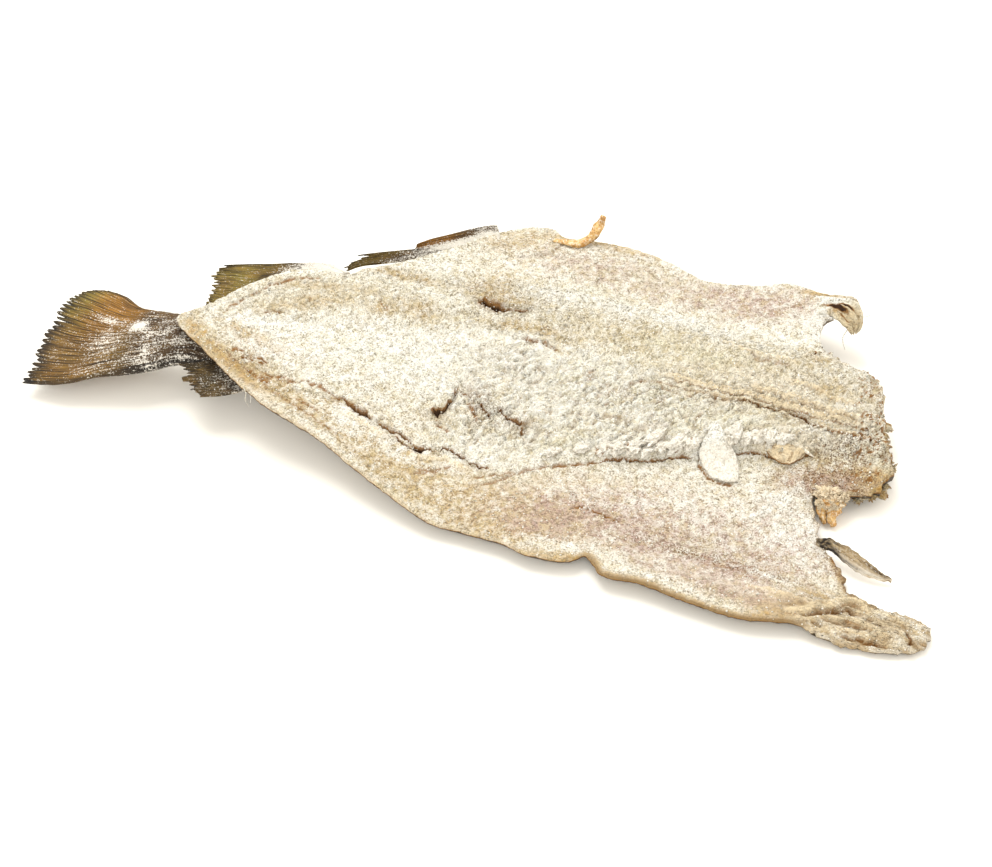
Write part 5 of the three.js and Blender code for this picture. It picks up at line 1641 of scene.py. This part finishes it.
# %% Threads
threads = rolled_strip("loose_threads", [
    ([[257, 102, 27], [254.5, 96, 25], [255, 92, 23], [256.8, 87, 21]], [0.45, 0.35, 0.3, 0.2], 14),
    ([[-153, -45, 38], [-150.4, -49, 36], [-150.5, -52, 33], [-147.3, -54.3, 30]], [0.4, 0.35, 0.3, 0.2],
     14),
    ([[-150, -46, 37], [-147, -49.3, 34], [-146.8, -53.2, 31]], [0.4, 0.3, 0.2], 12),
    ([[264, 113, 33], [269, 112, 33], [273, 113, 35]], [0.5, 0.4, 0.2], 10)],
    sides=6, wrinkle=0.05, material=salted_meat, seed=9)
hand_over(threads)

# %% [markdown]
# ## Salt
#
# Coarse salt is little cubes, here 0.3 to 0.8 mm across, half sunk in the meat. One crystal is made with
# operators and doubled until there are enough, and then each copy is turned, sized and dropped onto a face
# chosen by area and by how frosted that spot is. They are real mesh, so they catch light and cast shadow.

# %% Crystals
def copies_of(shape, count):
    """Doubles a small shape until it holds count copies in a row."""
    per = len(shape.verts)
    while len(shape.verts) < per * count:
        bmesh.ops.duplicate(shape, geom=list(shape.verts) + list(shape.edges) + list(shape.faces))
    shape.verts.ensure_lookup_table()
    bmesh.ops.delete(shape, geom=shape.verts[per * count:], context="VERTS")
    return per

# %% Scatter copies
def scatter(name, shape, count, hosts, size, sink, seed, material):
    """Drops count copies of a shape on its hosts, each a mesh and a weight per point."""
    rng = np.random.default_rng(seed)
    corners, weights = [], []
    for mesh, weight in hosts:
        mesh.calc_loop_triangles()
        tri = np.empty(len(mesh.loop_triangles) * 3, int)
        mesh.loop_triangles.foreach_get("vertices", tri)
        tri = tri.reshape(-1, 3)
        corner = points_of(mesh)[tri]
        area = np.linalg.norm(np.cross(corner[:, 1] - corner[:, 0], corner[:, 2] - corner[:, 0]), axis=1) / 2
        corners.append(corner)
        weights.append(area * weight[tri].mean(1))
    corners, weights = np.concatenate(corners), np.concatenate(weights)
    chosen = corners[rng.choice(len(corners), count, p=weights / weights.sum())]
    a, b = rng.random((2, count, 1))
    over = a + b > 1
    a, b = np.where(over, 1 - a, a), np.where(over, 1 - b, b)
    spot = chosen[:, 0] + a * (chosen[:, 1] - chosen[:, 0]) + b * (chosen[:, 2] - chosen[:, 0])
    normal = np.cross(chosen[:, 1] - chosen[:, 0], chosen[:, 2] - chosen[:, 0])
    normal /= np.linalg.norm(normal, axis=1)[:, None] + 1e-12
    grain_size = mix(size[0], size[1], rng.random(count) ** 2) * MM
    turn = rng.normal(size=(count, 4))
    turn /= np.linalg.norm(turn, axis=1)[:, None]
    w, i, j, k = turn.T
    spin = np.stack([1 - 2 * (j * j + k * k), 2 * (i * j - k * w), 2 * (i * k + j * w),
                     2 * (i * j + k * w), 1 - 2 * (i * i + k * k), 2 * (j * k - i * w),
                     2 * (i * k - j * w), 2 * (j * k + i * w), 1 - 2 * (i * i + j * j)], 1).reshape(-1, 3, 3)
    per = copies_of(shape, count)
    piece = object_of(shape, name, smooth=False)
    co = points_of(piece.data).reshape(count, per, 3) * grain_size[:, None, None]
    co = np.einsum("nij,npj->npi", spin, co) + (spot + normal * grain_size[:, None] * sink)[:, None, :]
    move_points(piece.data, np.clip(co, CAD_LOW + INSIDE / 2, CAD_HIGH - INSIDE / 2))
    piece.data.materials.append(material)
    hand_over(piece)

# %% Coarse salt
coarse_salt, tree = new_material("coarse_salt")
where = add(tree, COORDS, out="Object")
cloud = add(tree, NOISE, {"Vector": where, "Scale": per_metre(3), "Detail": 2.0}, "Fac")
colour = lay_over(tree, ink("#d9d4c8"), [(1.0, cloud, 0.35, 0.6, 0.0, 1.0, "#ebe8e1")])
shader = add(tree, SHADER, {"Base Color": colour, "Roughness": 0.4, "IOR": 1.54,
                            "Specular IOR Level": 0.5}, 0)
add(tree, OUTPUT, {"Surface": shader})

# %% Drop salt and crumbs
def read(mesh, name):
    values = np.empty(len(mesh.vertices), np.float32)
    mesh.attributes[name].data.foreach_get("value", values)
    return values.astype(float)


SALT_SIZE, CRUMB_SIZE = (0.3, 0.8), (0.6, 1.7)
MEAT_GRAINS, FIN_GRAINS, CRUMBS = 16000, 1800, 2200
upward = level > 0.9
clumped = clamp01(0.35 + 1.6 * rough(x, y, 7, 131, 3))
crust = upward * (0.2 + 1.5 * tint["frost"]) * (0.2 + clumped) * (1 - 0.9 * clamp01(dark))
for name, loss in (("gold", 0.8), ("amber", 0.7), ("fibrous", 0.6), ("pepper", 0.6), ("smooth", 0.8)):
    crust *= 1 - loss * tint[name]
fin_pieces = [tail] + [bpy.data.objects[name] for name in FINS]
grain_shape = bmesh.new()
bmesh.ops.create_cube(grain_shape, size=1.0)
meat_hosts = [(cod.data, crust)]
scatter("salt_on_meat", grain_shape, MEAT_GRAINS, meat_hosts, SALT_SIZE, 0.02, 11, coarse_salt)
grain_shape = bmesh.new()
bmesh.ops.create_cube(grain_shape, size=1.0)
fin_hosts = [(fin.data, read(fin.data, "salted") ** 2) for fin in fin_pieces]
scatter("salt_on_fins", grain_shape, FIN_GRAINS, fin_hosts, SALT_SIZE, 0.05, 12, coarse_salt)
crumb_shape = bmesh.new()
bmesh.ops.create_icosphere(crumb_shape, subdivisions=1, radius=0.5)
for v in crumb_shape.verts:
    v.co *= 1 + 0.35 * noise.noise(v.co * 5)
crumb_hosts = [(cod.data, upward * (0.15 + tint["amber"]))]
scatter("meat_crumbs", crumb_shape, CRUMBS, crumb_hosts, CRUMB_SIZE, 0.0, 13, salted_meat)
